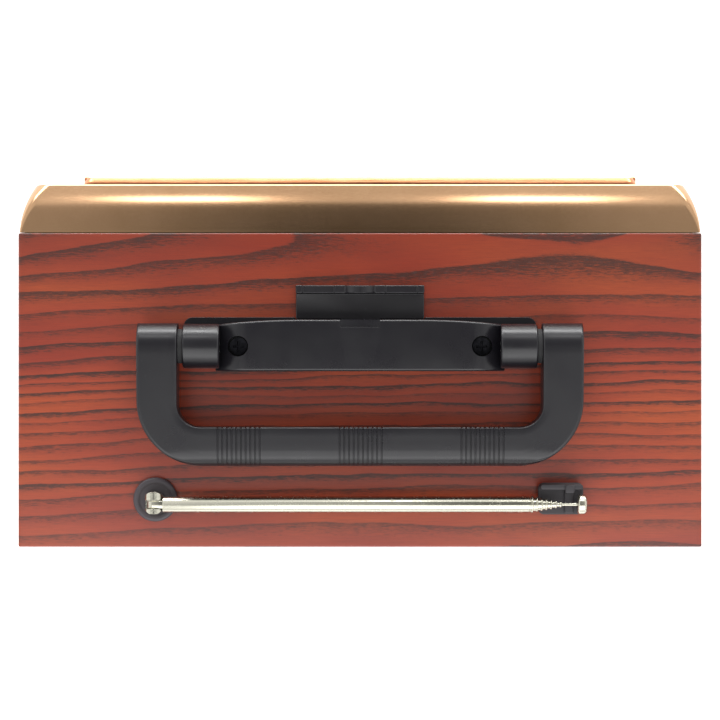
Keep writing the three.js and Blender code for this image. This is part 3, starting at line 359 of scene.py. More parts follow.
def stained_veneer():
    """Ash veneer stained mahogany red under satin varnish: dark open-pored ring bands with one crisp
    edge and one ragged edge on bright red wood, and short pore streaks along the grain."""
    finish, tree, shader = new_finish("stained_ash_veneer_satin_varnish", Roughness=0.36, IOR=1.47,
                                      Coat_Weight=0.12, Coat_Roughness=0.2)
    flat = add(tree, "UVMap", uv_map="veneer")
    split = add(tree, "SeparateXYZ", (flat,))
    grain = {}
    for name, (size, detail, roughness) in GRAIN.items():
        place = add(tree, "Mapping", {"Vector": flat, "Scale": size})
        grain[name] = add(tree, "TexNoise", {"Vector": place, "Scale": 1.0, "Detail": detail,
                                             "Roughness": roughness})
    swing = {}
    for name, reach in (("wave", 7.0), ("fine_wave", 1.6), ("ragged", 1.3), ("streak", 2.0)):
        centred = add(tree, "Math", (grain[name], 0.5), operation="SUBTRACT")
        swing[name] = add(tree, "Math", (centred, reach), operation="MULTIPLY")
    back = add(tree, "Math", (split.outputs["Y"], swing["wave"]), operation="ADD")
    back = add(tree, "Math", (back, swing["fine_wave"]), operation="ADD")
    count = ring_count(tree, veneer_rings(tree, split.outputs["X"], back))
    phase = add(tree, "Math", (count, 0.0), operation="FRACT")
    ring_number = add(tree, "Math", (count, 0.0), operation="FLOOR")
    seed = add(tree, "TexWhiteNoise", {"W": ring_number}, noise_dimensions="1D")
    weight = add(tree, "MapRange", (seed.outputs["Value"], 0, 1, 0.7, 1.0))
    tail = add(tree, "MapRange", (phase, 0.08, 0.80, 1.0, 0.0))
    onset = add(tree, "MapRange", (phase, 0.0, 0.05, 0.0, 1.0))
    soft = add(tree, "Math", (tail, onset), operation="MULTIPLY")
    soft = add(tree, "Math", (soft, weight), operation="MULTIPLY")
    torn = add(tree, "Math", (soft, swing["ragged"]), operation="ADD")
    torn = add(tree, "Math", (torn, swing["streak"]), operation="ADD")
    crisp = add(tree, "MapRange", (torn, 0.48, 0.74, 0.0, 1.0))
    crisp = add(tree, "Math", (crisp, weight), operation="MULTIPLY")
    pale = add(tree, "Math", (soft, 0.35), operation="MULTIPLY")
    band = add(tree, "Math", (pale, crisp), operation="MAXIMUM")
    shade = add(tree, "ValToRGB", (grain["blotch"],),
                ((0.3, "#7E2A1A"), (0.5, "#8F381F"), (0.72, "#9E4720")))
    dark = add(tree, "ValToRGB", (grain["streak"],), ((0.3, "#1A100E"), (0.7, "#38211A")))
    fibrous = add(tree, "MapRange", (grain["fibre"], 0.35, 0.7, 0.0, 0.45))
    front_tone = add(tree, "MapRange", (split.outputs["Y"], 0.0, 60.0, 0.45, 0.0))
    banded = add(tree, "Math", (band, 0.95), operation="MULTIPLY")
    pore_places = add(tree, "MapRange", (grain["pores"], 0.60, 0.68, 0.0, 1.0))
    pore_depth = add(tree, "MapRange", (band, 0.0, 0.6, 0.12, 0.75))
    pore_mask = add(tree, "Math", (pore_places, pore_depth), operation="MULTIPLY")
    for share, tone in ((fibrous, colour("#5E241A")), (front_tone, colour("#561B12")),
                        (banded, dark), (pore_mask, colour("#150B09"))):
        shade = add(tree, "Mix", {0: share, 6: shade, 7: tone}, data_type="RGBA")
    sunk = add(tree, "Math", (pore_mask, -0.8), operation="MULTIPLY")
    raised = add(tree, "Math", (grain["fibre"], 0.25), operation="MULTIPLY")
    depth = add(tree, "Math", (sunk, raised), operation="ADD")
    fill(tree, shader, {
        "Base Color": shade,
        "Roughness": add(tree, "MapRange", (pore_mask, 0, 1, 0.30, 0.5)),
        "Normal": add(tree, "Bump", {"Height": depth, "Distance": 0.05 * MM, "Strength": 0.6})})
    return finish


def bronze_paint():
    """Sprayed bronze metallic paint: fine flake, satin, with a slight orange peel."""
    finish, tree, shader = new_finish("bronze_metallic_paint", Metallic=0.95, Roughness=0.15)
    place = add(tree, "TexCoord").outputs["Object"]
    flake = add(tree, "TexNoise", {"Vector": place, "Scale": 2.6 / MM, "Detail": 2.0})
    cloudy = add(tree, "TexNoise", {"Vector": place, "Scale": 0.03 / MM, "Detail": 2.0})
    peel = add(tree, "TexNoise", {"Vector": place, "Scale": 0.7 / MM, "Detail": 1.0})
    base = add(tree, "ValToRGB", (cloudy,), ((0.35, "#A07D5B"), (0.65, "#AA8766")))
    share = add(tree, "MapRange", (flake, 0.4, 0.65, 0.0, 0.35))
    fill(tree, shader, {
        "Base Color": add(tree, "Mix", {0: share, 6: base, 7: colour("#BD9C7A")}, data_type="RGBA"),
        "Roughness": add(tree, "MapRange", (flake, 0.3, 0.7, 0.12, 0.19)),
        "Normal": add(tree, "Bump", {"Height": peel, "Distance": 0.004 * MM, "Strength": 0.5})})
    return finish


def copper_plate():
    """Brushed copper-coloured aluminium trim: fine lines along the front."""
    finish, tree, shader = new_finish("brushed_copper_trim", Metallic=1.0, Roughness=0.24)
    place = add(tree, "Mapping", {"Vector": add(tree, "TexCoord").outputs["Object"],
                                  "Scale": (0.06 / MM, 9 / MM, 9 / MM)})
    lines = add(tree, "TexNoise", {"Vector": place, "Scale": 1.0, "Detail": 3.0})
    fill(tree, shader, {
        "Base Color": add(tree, "ValToRGB", (lines,), ((0.3, "#AC6C49"), (0.7, "#CB9069"))),
        "Roughness": add(tree, "MapRange", (lines, 0.3, 0.7, 0.2, 0.32)),
        "Normal": add(tree, "Bump", {"Height": lines, "Distance": 0.003 * MM, "Strength": 0.4})})
    return finish


def moulded_black(name, code, worn_code, rough, grain=1.9):
    """Moulded black ABS with a spark-eroded texture: fine grain, cloudy gloss, paler rubbed spots."""
    finish, tree, shader = new_finish(name, Roughness=rough, IOR=1.45)
    place = add(tree, "TexCoord").outputs["Object"]
    texture = add(tree, "TexNoise", {"Vector": place, "Scale": grain / MM, "Detail": 2.0,
                                     "Roughness": 0.6})
    cloudy = add(tree, "TexNoise", {"Vector": place, "Scale": 0.055 / MM, "Detail": 3.0})
    rubbed = add(tree, "TexNoise", {"Vector": place, "Scale": 0.26 / MM, "Detail": 4.0,
                                    "Roughness": 0.7})
    shade = colour(code)
    for share, tone in ((add(tree, "MapRange", (cloudy, 0.4, 0.75, 0.0, 0.6)), worn_code),
                        (add(tree, "MapRange", (rubbed, 0.66, 0.78, 0.0, 0.35)), "#3A383E")):
        shade = add(tree, "Mix", {0: share, 6: shade, 7: colour(tone)}, data_type="RGBA")
    fill(tree, shader, {
        "Base Color": shade,
        "Roughness": add(tree, "MapRange", (cloudy, 0.3, 0.75, rough + 0.05, rough - 0.06)),
        "Normal": add(tree, "Bump", {"Height": texture, "Distance": 0.012 * MM, "Strength": 0.5})})
    return finish


def polished_black():
    """Polished black acrylic: deep gloss with faint wiping marks."""
    finish, tree, shader = new_finish("polished_black_acrylic", Roughness=0.1, IOR=1.49)
    place = add(tree, "Mapping", {"Vector": add(tree, "TexCoord").outputs["Object"],
                                  "Scale": (0.03 / MM, 0.03 / MM, 0.9 / MM)})
    marks = add(tree, "TexNoise", {"Vector": place, "Scale": 1.0, "Detail": 4.0})
    fill(tree, shader, {
        "Base Color": add(tree, "ValToRGB", (marks,), ((0.3, "#08080A"), (0.8, "#141417"))),
        "Roughness": add(tree, "MapRange", (marks, 0.35, 0.75, 0.07, 0.2))})
    return finish


def nickel_plate():
    """Nickel plating on drawn brass tube: bright, slightly warm, with drawing lines and dull spots."""
    finish, tree, shader = new_finish("nickel_plated_tube", Metallic=1.0, Roughness=0.24)
    place = add(tree, "TexCoord").outputs["Object"]
    along = add(tree, "Mapping", {"Vector": place, "Scale": (0.012 / MM, 2.5 / MM, 2.5 / MM)})
    drawn = add(tree, "TexNoise", {"Vector": along, "Scale": 1.0, "Detail": 3.0})
    spots = add(tree, "TexNoise", {"Vector": place, "Scale": 0.42 / MM, "Detail": 4.0,
                                   "Roughness": 0.7})
    base = add(tree, "ValToRGB", (drawn,), ((0.3, "#B0AD9E"), (0.7, "#CDCBBC")))
    share = add(tree, "MapRange", (spots, 0.6, 0.75, 0.0, 0.4))
    fill(tree, shader, {
        "Base Color": add(tree, "Mix", {0: share, 6: base, 7: colour("#8F8B7A")}, data_type="RGBA"),
        "Roughness": add(tree, "MapRange", (spots, 0.5, 0.8, 0.22, 0.38)),
        "Normal": add(tree, "Bump", {"Height": drawn, "Distance": 0.002 * MM, "Strength": 0.4})})
    return finish


def mottled(name, low_code, high_code, values, cells, detail, rough, bump, stops=(0.3, 0.7)):
    """A surface with one two-tone mottle, in so many cells to the millimetre, whose roughness goes
    with it. bump is (distance in millimetres, strength, and a finer grain's cells and detail)."""
    finish, tree, shader = new_finish(name, **values)
    place = add(tree, "TexCoord").outputs["Object"]
    mottle = add(tree, "TexNoise", {"Vector": place, "Scale": cells / MM, "Detail": detail[0],
                                    "Roughness": detail[1]})
    distance, strength, *finer = bump
    height = mottle
    if finer:
        height = add(tree, "TexNoise", {"Vector": place, "Scale": finer[0] / MM, "Detail": finer[1]})
    fill(tree, shader, {
        "Base Color": add(tree, "ValToRGB", (mottle,), ((stops[0], low_code), (stops[1], high_code))),
        "Roughness": add(tree, "MapRange", (mottle, 0.3, 0.7, *rough)),
        "Normal": add(tree, "Bump", {"Height": height, "Distance": distance * MM,
                                     "Strength": strength})})
    return finish


def zinc_plate(name, low_code, high_code):
    """Bright or blackened zinc on pressed steel: mottled and satin."""
    return mottled(name, low_code, high_code, {"Metallic": 1.0, "Roughness": 0.4}, 0.3, (4.0, 0.7),
                   (0.3, 0.5), (0.01, 0.4))


def moulded_rubber():
    """Black nitrile rubber with a dusty bloom and a coarse moulded grain."""
    return mottled("moulded_rubber", "#161617", "#333234", {"Roughness": 0.8, "IOR": 1.52}, 0.18,
                   (4.0, 0.7), (0.7, 0.9), (0.03, 0.8, 1.5, 2.0), (0.35, 0.75))


def printed_card(name, low_code, high_code):
    """Screen-printed plastic: an even ink film with a soft mottle and a satin face."""
    return mottled(name, low_code, high_code, {"Roughness": 0.55, "IOR": 1.5}, 0.24, (4.0, 0.6),
                   (0.48, 0.62), (0.004, 0.5, 2.4, 1.0))


def speckled(name, low_code, high_code, rough, cells, depth):
    """Pressed or sintered stock with a two-tone speckle: paper cones, fibreboard and ferrite."""
    return mottled(name, low_code, high_code, {"Roughness": rough, "IOR": 1.5}, cells, (5.0, 0.75),
                   (rough - 0.08, rough + 0.08), (depth, 0.7), (0.35, 0.68))


def clear_acrylic():
    """Clear cast acrylic: see-through, glossy, with a few hairline scratches."""
    finish, tree, shader = new_finish("clear_acrylic", Roughness=0.03, IOR=1.49,
                                      Transmission_Weight=1.0)
    place = add(tree, "Mapping", {"Vector": add(tree, "TexCoord").outputs["Object"],
                                  "Scale": (0.04 / MM, 0.04 / MM, 1.6 / MM)})
    hairs = add(tree, "TexNoise", {"Vector": place, "Scale": 1.0, "Detail": 3.0})
    fill(tree, shader, {
        "Base Color": add(tree, "ValToRGB", (hairs,), ((0.4, "#F4F7F6"), (0.8, "#E6ECEA"))),
        "Roughness": add(tree, "MapRange", (hairs, 0.62, 0.75, 0.02, 0.14))})
    return finish


def woven_cloth():
    """Woven speaker cloth: thick matt yarn, warp and weft in two dark browns with a gold fleck."""
    finish, tree, shader = new_finish("woven_speaker_cloth", Roughness=0.85, IOR=1.45,
                                      Sheen_Weight=0.25)
    place = add(tree, "TexCoord").outputs["Object"]
    threads = []
    for size in ((0.3 / MM, 0.3 / MM, 4 / MM), (4 / MM, 0.3 / MM, 0.3 / MM)):
        along = add(tree, "Mapping", {"Vector": place, "Scale": size})
        threads.append(add(tree, "TexNoise", {"Vector": along, "Scale": 1.0, "Detail": 3.0,
                                              "Roughness": 0.7}))
    yarn, weft = threads
    shade = colour("#1A1411")
    for share, tone in ((add(tree, "MapRange", (yarn, 0.4, 0.65, 0.0, 1.0)), "#4A3A2A"),
                        (add(tree, "MapRange", (weft, 0.58, 0.7, 0.0, 0.6)), "#8A6C40")):
        shade = add(tree, "Mix", {0: share, 6: shade, 7: colour(tone)}, data_type="RGBA")
    height = add(tree, "Math", (yarn, weft), operation="ADD")
    fill(tree, shader, {
        "Base Color": shade,
        "Roughness": add(tree, "MapRange", (yarn, 0.3, 0.7, 0.75, 0.95)),
        "Normal": add(tree, "Bump", {"Height": height, "Distance": 0.05 * MM, "Strength": 0.6})})
    return finish


def solder_mask():
    """Green solder mask over copper tracks, seen as paler lines."""
    finish, tree, shader = new_finish("green_solder_mask", Roughness=0.35, IOR=1.5)
    place = add(tree, "TexCoord").outputs["Object"]
    mottle = add(tree, "TexNoise", {"Vector": place, "Scale": 0.3 / MM, "Detail": 3.0})
    fill(tree, shader, {
        "Base Color": add(tree, "TexBrick", {
            "Vector": place, "Scale": 0.16 / MM, "Mortar Size": 0.06, "Mortar": colour("#3F8A58"),
            "Color1": colour("#1E5A38"), "Color2": colour("#24653F")}),
        "Roughness": add(tree, "MapRange", (mottle, 0.3, 0.7, 0.25, 0.45))})
    return finish


VENEER = stained_veneer()
BRONZE = bronze_paint()
COPPER = copper_plate()
BLACK = moulded_black("moulded_black_abs", "#111014", "#161419", 0.3)
BLACK_SMOOTH = moulded_black("smooth_black_abs", "#131115", "#19171B", 0.32, 2.6)
GLOSS = polished_black()
NICKEL = nickel_plate()
ZINC = zinc_plate("zinc_plated_steel", "#6E7174", "#A2A5A8")
BLACK_STEEL = zinc_plate("blackened_steel", "#17171A", "#2C2C30")
BLACK_MATT = moulded_black("matt_black_nylon", "#2B282B", "#343134", 0.55)
WORN_NYLON = moulded_black("worn_matt_nylon", "#3B363A", "#464044", 0.5)
RUBBER = moulded_rubber()
CLEAR = clear_acrylic()
CREAM = printed_card("cream_dial_print", "#DCCFA6", "#E9DFBD")
INK = printed_card("brown_dial_ink", "#2A1D16", "#3A2A20")
CLOTH = woven_cloth()
MASK = solder_mask()
PULP = speckled("pressed_paper_cone", "#121214", "#26262A", 0.85, 0.9, 0.06)
FIBRE = speckled("raw_fibreboard", "#5A4229", "#8A6B48", 0.85, 0.7, 0.08)
FERRITE = speckled("sintered_ferrite", "#202124", "#3B3C40", 0.6, 1.5, 0.02)


# ---- The camera, which looks straight down on the top with the front of the set uppermost ----

FIELD_AT_TOP = 321 * MM
CAMERA_HEIGHT = 1.1
TOP = corners("cabinet_sleeve")[1][2]
MIDDLE_Y = corners("cabinet_sleeve")[0][1] + 56.6 * MM

camera = bpy.data.objects.new("camera", bpy.data.cameras.new("camera"))
bpy.context.scene.collection.objects.link(camera)
camera.data.sensor_width = 36
camera.data.lens = 36 * CAMERA_HEIGHT / FIELD_AT_TOP
camera.location = (0, MIDDLE_Y, TOP + CAMERA_HEIGHT)
camera.rotation_euler = (0, 0, PI)
camera.data.clip_end = 50
bpy.context.scene.camera = camera


# ---- Cabinet ----

def veneer_map(mesh, low, high):
    """UV map in millimetres: v is the distance back from the front edge plus the distance in from
    the outer face, and u runs round the sleeve, so that u = x on the top and the veneer carries on
    down the sides and over the ends without a break."""
    count = len(mesh.loops)
    points = np.empty(len(mesh.vertices) * 3)
    mesh.vertices.foreach_get("co", points)
    owners = np.empty(count, int)
    mesh.loops.foreach_get("vertex_index", owners)
    centres = np.empty(len(mesh.polygons) * 3)
    mesh.polygons.foreach_get("center", centres)
    sizes = np.empty(len(mesh.polygons), int)
    mesh.polygons.foreach_get("loop_total", sizes)
    place = points.reshape(-1, 3)[owners]
    middle = (low + high) / 2
    offset = np.repeat(centres.reshape(-1, 3), sizes, axis=0) - middle
    half = (high - low) / 2
    sideways = np.abs(offset[:, 0]) / half[0] > np.abs(offset[:, 2]) / half[2]
    under = ~sideways & (offset[:, 2] < 0)
    sign = np.sign(offset[:, 0])
    across = place[:, 0].copy()
    across[sideways] = (sign * (half[0] + high[2] - place[:, 2]))[sideways]
    across[under] = (4 * half[0] + 2 * half[2] - place[:, 0])[under]
    inward = np.min((half - np.abs(place - middle))[:, [0, 2]], axis=1)
    flat = np.stack([across, place[:, 1] - low[1] + inward], axis=1) / MM
    layer = mesh.uv_layers.new(name="veneer")
    layer.data.foreach_set("uv", flat.ravel())


def cabinet_sleeve():
    """The sleeve is a closed section of (inset, y) carried round the cabinet: an outer face whose
    ends are eased by 0.8 mm, and an inner face at the wall's thickness."""
    low, high, middle = corners("cabinet_sleeve")
    wall = 12 * MM
    section = eased([(0, low[1]), (0, high[1]), (wall, high[1]), (wall, low[1])], 0.8 * MM, 4, True)
    shape = carried_round(section, high[0] - low[0], high[2] - low[2], 1.2 * MM, middle, 1, 4)
    mesh = mesh_of("wooden_cabinet", [shape])
    veneer_map(mesh, low, high)
    add_piece("wooden_cabinet", mesh, VENEER, ROOT, ["cabinet_sleeve"])


def foot_turning(node):
    """A foot turned about its own axis, with a groove pressed in the face that it stands on."""
    low, high, middle = corners(node)
    radius = (high[0] - low[0]) / 2
    profile = eased([(0, 1.0 * MM), (0.5 * radius, 1.0 * MM), (0.52 * radius, 0), (radius - 1 * MM, 0),
                     (radius, 1.2 * MM), (0.94 * radius, high[2] - low[2]), (0, high[2] - low[2])],
                    0.8 * MM)
    piece(f"{node}_turned", [spun(profile, (middle[0], middle[1], low[2]), (0, 0, 1), 48)],
          RUBBER, ROOT, [node])


# ---- Front ----

FRONT_EDGE = corners("cabinet_sleeve")[0][1]


def depth_y(depth):
    """The y of a place that is so many millimetres in front of the cabinet's front edge."""
    return FRONT_EDGE - depth * MM


def bezel_casting():
    """Rounded rectangles stacked along the depth. Their inset follows an arc of radius R,
    inset = R - sqrt(R * R - depth * depth), and their corner radius grows towards the front.
    Each row is (inset at the sides, inset above and below, depth, corner radius)."""
    low, high, middle = corners("front_bezel")
    curve, depth = 44.0, (high[1] - low[1]) / MM
    joint = (FRONT_EDGE - high[1]) / MM
    steps = np.linspace(joint, depth + joint - 0.8, 14)
    arc = [(curve - math.sqrt(curve ** 2 - step ** 2), step) for step in steps]
    rows = [(inset, inset, step, 1.0 + 7.0 * step / depth) for inset, step in arc]
    last, full = arc[-1][0], depth + joint
    rows += [(last + more, last + more, full - less, 8)
             for more, less in ((0.25, 0.35), (0.6, 0.1), (1.1, 0.0))]
    opening = corners("control_panel")
    aside = (high[0] - opening[1][0]) / MM - 0.3
    above = (high[2] - corners("speaker_grille")[1][2]) / MM - 0.3
    back = (FRONT_EDGE - opening[1][1]) / MM
    rows += [(aside - 0.3, above - 0.3, full, 2), (aside, above, full - 0.3, 2),
             (aside, above, back, 2), (12.3, 12.3, back, 6), (12.3, 12.3, joint, 6),
             (0.5, 0.5, joint, 1)]
    loops = []
    for inset, rise, step, corner in rows:
        loop = round_loop(high[0] - low[0] - 2 * inset * MM, high[2] - low[2] - 2 * rise * MM,
                          corner * MM, 8)
        loops.append(laid(loop + middle[[0, 2]], depth_y(step), 1))
    piece("bronze_bezel", [grid(np.stack(loops), ring=True)], BRONZE, ROOT,
          ["front_bezel"], 30)


def trim_frame():
    """A copper frame: a section whose outer face slopes in towards the front, carried round the
    opening, and a taller rounded strip at each end."""
    low, high, middle = corners("front_trim_frame")
    border, front, slope = 6 * MM, low[1] + 0.5 * MM, 1.5 * MM
    section = eased([(0, high[1]), (0, high[1] - 0.9 * MM), (slope, front), (border, front),
                     (border, high[1])], 0.7 * MM, 5, True)
    shapes = [carried_round(section, high[0] - low[0], high[2] - low[2], 5 * MM, middle, 1)]
    for side in (-1, 1):
        edge = high[0] if side > 0 else low[0]
        near, far = sorted((edge, edge - side * 2.7 * MM))
        shapes.append(soft_block((near, low[1], low[2] + 5 * MM),
                                 (far, high[1] - 0.1 * MM, high[2] - 5 * MM), 0.9 * MM, 0.9 * MM))
    piece("copper_frame", shapes, COPPER, ROOT, ["front_trim_frame"])


def grille_bars():
    """A moulded frame with nine rounded bars across it, and upright ribs behind the bars."""
    low, high, middle = corners("speaker_grille")
    border, bars, bar_height = 5 * MM, 9, 3 * MM
    section = eased([(0, high[1]), (0, low[1]), (border, low[1]), (border, high[1])], 0.7 * MM, 3, True)
    shapes = [carried_round(section, high[0] - low[0], high[2] - low[2], 1.2 * MM, middle, 1)]
    clear = high[2] - low[2] - 2 * border
    pitch = (clear + bar_height) / (bars + 1)
    for index in range(bars):
        bottom = low[2] + border + (index + 1) * pitch - bar_height
        shapes.append(soft_block((low[0] + border - 1 * MM, low[1], bottom),
                                 (high[0] - border + 1 * MM, high[1] - 0.8 * MM, bottom + bar_height),
                                 1.2 * MM, 0.1 * MM, 0))
    for x in np.linspace(low[0] + border, high[0] - border, 7)[1:-1]:
        shapes.append(soft_block((x - 1 * MM, low[1] + 2.4 * MM, low[2] + border - 1 * MM),
                                 (x + 1 * MM, high[1], high[2] - border + 1 * MM), 0.3 * MM, 0.1 * MM))
    piece("grille_moulding", shapes, BLACK_SMOOTH, ROOT, ["speaker_grille"])


def grille_cloth():
    """A plain weave: the surface stands proud by h * cos(pi u) * cos(pi v), with u and v counted in
    threads of 2.6 mm, which is coarser than real cloth so that it shows. Its back is flat."""
    low, high = corners("speaker_cloth")[:2]
    thread, swell = 2.6 * MM, 0.3 * MM
    columns = int((high[0] - low[0]) / thread * 4)
    rows = int((high[2] - low[2]) / thread * 4)
    x, z = np.meshgrid(np.linspace(low[0], high[0], columns), np.linspace(low[2], high[2], rows))
    rise = swell * np.cos(PI * x / thread) * np.cos(PI * z / thread)
    front = np.stack([x, low[1] + swell - rise, z], axis=-1)
    points, faces = grid(front, wrap=False, ends=False)
    index = np.arange(rows * columns).reshape(rows, columns)
    rim = np.concatenate([index[0, :-1], index[:-1, -1], index[-1, :0:-1], index[:0:-1, 0]])
    back = points[rim].copy()
    back[:, 1] = high[1]
    start = len(points)
    behind = np.arange(len(rim)) + start
    sides = np.stack([rim, np.roll(rim, -1), np.roll(behind, -1), behind], axis=1).tolist()
    shape = np.concatenate([points, back]), faces + sides + [behind.tolist()]
    cloth = piece("woven_grille_cloth", [shape], CLOTH, ROOT, ["speaker_cloth"], 80)


def knob_turning(side):
    """Radius as a function of the angle and of the place along the profile: the drum's radius less
    flute depth * (1 - cos(flutes * angle)) / 2, where the profile is at its widest."""
    node = f"{side}_knob"
    low, high, middle = corners(node)
    radius, flutes, flute_depth = 17 * MM, 36, 0.55 * MM
    front, back = low[1], high[1]
    profile = np.concatenate([
        [(0, front + 4 * MM), (3.3 * MM, front + 4 * MM), (3.3 * MM, back), (radius - 1.2 * MM, back)],
        eased([(radius - 1.2 * MM, back), (radius, back - 0.8 * MM), (radius, front + 3 * MM),
               (radius - 1.6 * MM, front + 1.2 * MM), (radius - 2 * MM, front + 0.2 * MM),
               (radius - 3.6 * MM, front), (radius - 4.2 * MM, front + 0.5 * MM),
               (radius - 5.2 * MM, front + 0.9 * MM)], 0.5 * MM, 3),
        [(radius * share, front + (1.1 - 0.2 * share) * MM) for share in (0.6, 0.45, 0.3, 0.15, 0)]])
    angles = np.linspace(0, 2 * PI, flutes * 8, endpoint=False)
    widest = np.clip((profile[:, 0] - radius + 1.0 * MM) / (1.0 * MM), 0, 1)[:, None]
    reach = profile[:, :1] - widest * flute_depth * (1 - np.cos(flutes * angles)) / 2
    points = np.stack([middle[0] + reach * np.cos(angles),
                       np.broadcast_to(profile[:, 1:], reach.shape),
                       middle[2] + reach * np.sin(angles)], axis=-1)
    body = f"{side}_control"
    piece(f"{node}_fluted", [grid(points, ends=False)], BRONZE, body, [node], 40)
    mark = soft_block((middle[0] - 0.7 * MM, front + 0.3 * MM, middle[2] + 7 * MM),
                      (middle[0] + 0.7 * MM, front + 1.1 * MM, middle[2] + 11.4 * MM),
                      0.6 * MM, 0.2 * MM, 1)
    piece(f"{node}_mark", [mark], CREAM, body)


def push_button(name):
    """A keycap with a crowned face, on a flange that stops it behind the panel."""
    low, high = corners(f"{name}_button")[:2]
    lip, flange = 1.5 * MM, 1.2 * MM
    cap_low = np.array([low[0] + lip, low[1], low[2] + lip])
    cap_high = np.array([high[0] - lip, high[1] - 0.1 * MM, high[2] - lip])
    shapes = [soft_block(cap_low, cap_high, 1.2 * MM, 0.8 * MM, 1),
              soft_block((low[0], high[1] - flange, low[2]), high, 0.8 * MM, 0.15 * MM, 1)]
    piece(f"{name}_keycap", shapes, BLACK_SMOOTH, f"{name}_key",
          [f"{name}_button"])


def dial_print():
    """Raised ink on the dial scale: two lines of graduations with plain frequency numbers."""
    front = corners("dial_scale")[0][1]
    window = corners("dial_window")[2]
    travel = 54.0
    shapes = []

    def stroke(x, z, width, height):
        """Adds a bar of ink in millimetres from the window's middle."""
        centre = np.array([window[0] + x * MM, front - 0.015 * MM, window[2] + z * MM])
        half = np.array([width / 2, 0.065, height / 2]) * MM
        shapes.append(soft_block(centre - half, centre + half, 0.05 * MM, 0.02 * MM, 1, 1))

    for height in (2.2, -2.2):
        stroke(0, height, 2 * travel, 0.3)
    for index in range(51):
        x = travel * (index / 25 - 1)
        tall = 2.6 if index % 5 == 0 else 1.4
        stroke(x, 2.2 + tall / 2, 0.3, tall)
        stroke(x, -2.2 - tall / 2, 0.3, tall)
    piece("dial_graduations", shapes, INK, ROOT)
    numbers = [(text, travel * (index / 5 * 2 - 1), 7.4)
               for index, text in enumerate(["88", "92", "96", "100", "104", "108"])]
    numbers += [(text, travel * (index / 5 * 2 - 1), -7.4)
                for index, text in enumerate(["530", "600", "800", "1000", "1300", "1600"])]
    meshes = []
    for text, x, z in numbers:
        curve = bpy.data.curves.new("number", "FONT")
        curve.body, curve.size, curve.extrude = text, 4.0 * MM, 0.04 * MM
        curve.align_x, curve.align_y = "CENTER", "CENTER"
        holder = bpy.data.objects.new("number", curve)
        bpy.context.scene.collection.objects.link(holder)
        bpy.context.view_layer.update()
        graph = bpy.context.evaluated_depsgraph_get()
        mesh = bpy.data.meshes.new_from_object(holder.evaluated_get(graph))
        bpy.data.objects.remove(holder)
        flat = np.empty(len(mesh.vertices) * 3)
        mesh.vertices.foreach_get("co", flat)
        flat = flat.reshape(-1, 3)
        placed = np.stack([window[0] + x * MM + flat[:, 0], front - 0.04 * MM - flat[:, 2],
                           window[2] + z * MM + flat[:, 1]], axis=1)
        meshes.append((placed, [list(face.vertices) for face in mesh.polygons]))
    piece("dial_numbers", meshes, INK, ROOT)


# ---- Handle ----

PIVOT = np.array([0.0, *(corners("handle_grip")[0][1:] + 10.1 * MM)])


def handle_outline(steps):
    """Outer and inner edge of the handle's right half from above, in millimetres from the pivot
    line: a straight arm, a quarter turn, and the straight grip up to the middle."""
    half, arm, reach, grip, end = 98.0, 17.8, 52.8, 17.2, 10.1
    outer_turn, inner_turn = 29.0, 10.0
    inner_half, inner_reach = half - arm, reach - grip
    fine = end * (1 - np.cos(np.linspace(0, PI / 2, 12))) - end
    along = np.linspace(0, 1, 8)[1:]
    outer_y = np.concatenate([fine, along * (reach - outer_turn)])
    inner_y = np.concatenate([fine, along * (inner_reach - inner_turn)])
    turn = np.linspace(0, PI / 2, 24)[1:]
    outer = [np.stack([np.full_like(outer_y, half), outer_y], axis=1),
             np.stack([half - outer_turn + outer_turn * np.cos(turn),
                       reach - outer_turn + outer_turn * np.sin(turn)], axis=1)]
    inner = [np.stack([np.full_like(inner_y, inner_half), inner_y], axis=1),
             np.stack([inner_half - inner_turn + inner_turn * np.cos(turn),
                       inner_reach - inner_turn + inner_turn * np.sin(turn)], axis=1)]
    outer.append(np.stack([steps, np.full_like(steps, reach)], axis=1))
    inner.append(np.stack([steps, np.full_like(steps, inner_reach)], axis=1))
    return np.concatenate(outer), np.concatenate(inner)


def handle_half_height(y):
    """Half the handle's thickness at a distance behind the pivot: round ends of radius 10.1 and 6.5
    joined by their common tangent."""
    big, small, far = 10.1, 6.5, 52.8 - 6.5
    lean = math.asin((big - small) / far)
    start, stop = big * math.sin(lean), far + small * math.sin(lean)
    near = np.sqrt(np.clip(big ** 2 - y ** 2, 0, None))
    end = np.sqrt(np.clip(small ** 2 - (y - far) ** 2, 0, None))
    slope = (big * math.cos(lean) - (y - start) * math.tan(lean))
    return np.where(y < start, near, np.where(y > stop, end, slope))


GRIP_GROUPS = (53.2, -0.3, -53.7)
GROOVES = 10
GROOVE_PITCH = 2.05
GROOVE_FORM = ((-0.36, 0.0), (-0.22, 0.8), (-0.08, 1.0), (0.08, 1.0), (0.22, 0.8), (0.36, 0.0))


def groove_rows():
    """Places along the grip, and how deep the grooves are at each, from 0 to 1."""
    places = [(centre + (number - (GROOVES - 1) / 2) * GROOVE_PITCH + shift, depth)
              for centre in GRIP_GROUPS for number in range(GROOVES) for shift, depth in GROOVE_FORM]
    places += [(x, 0.0) for x in (68, 66, 30, 20, -20, -30, -66, -68)]
    return np.array(sorted(places, reverse=True))


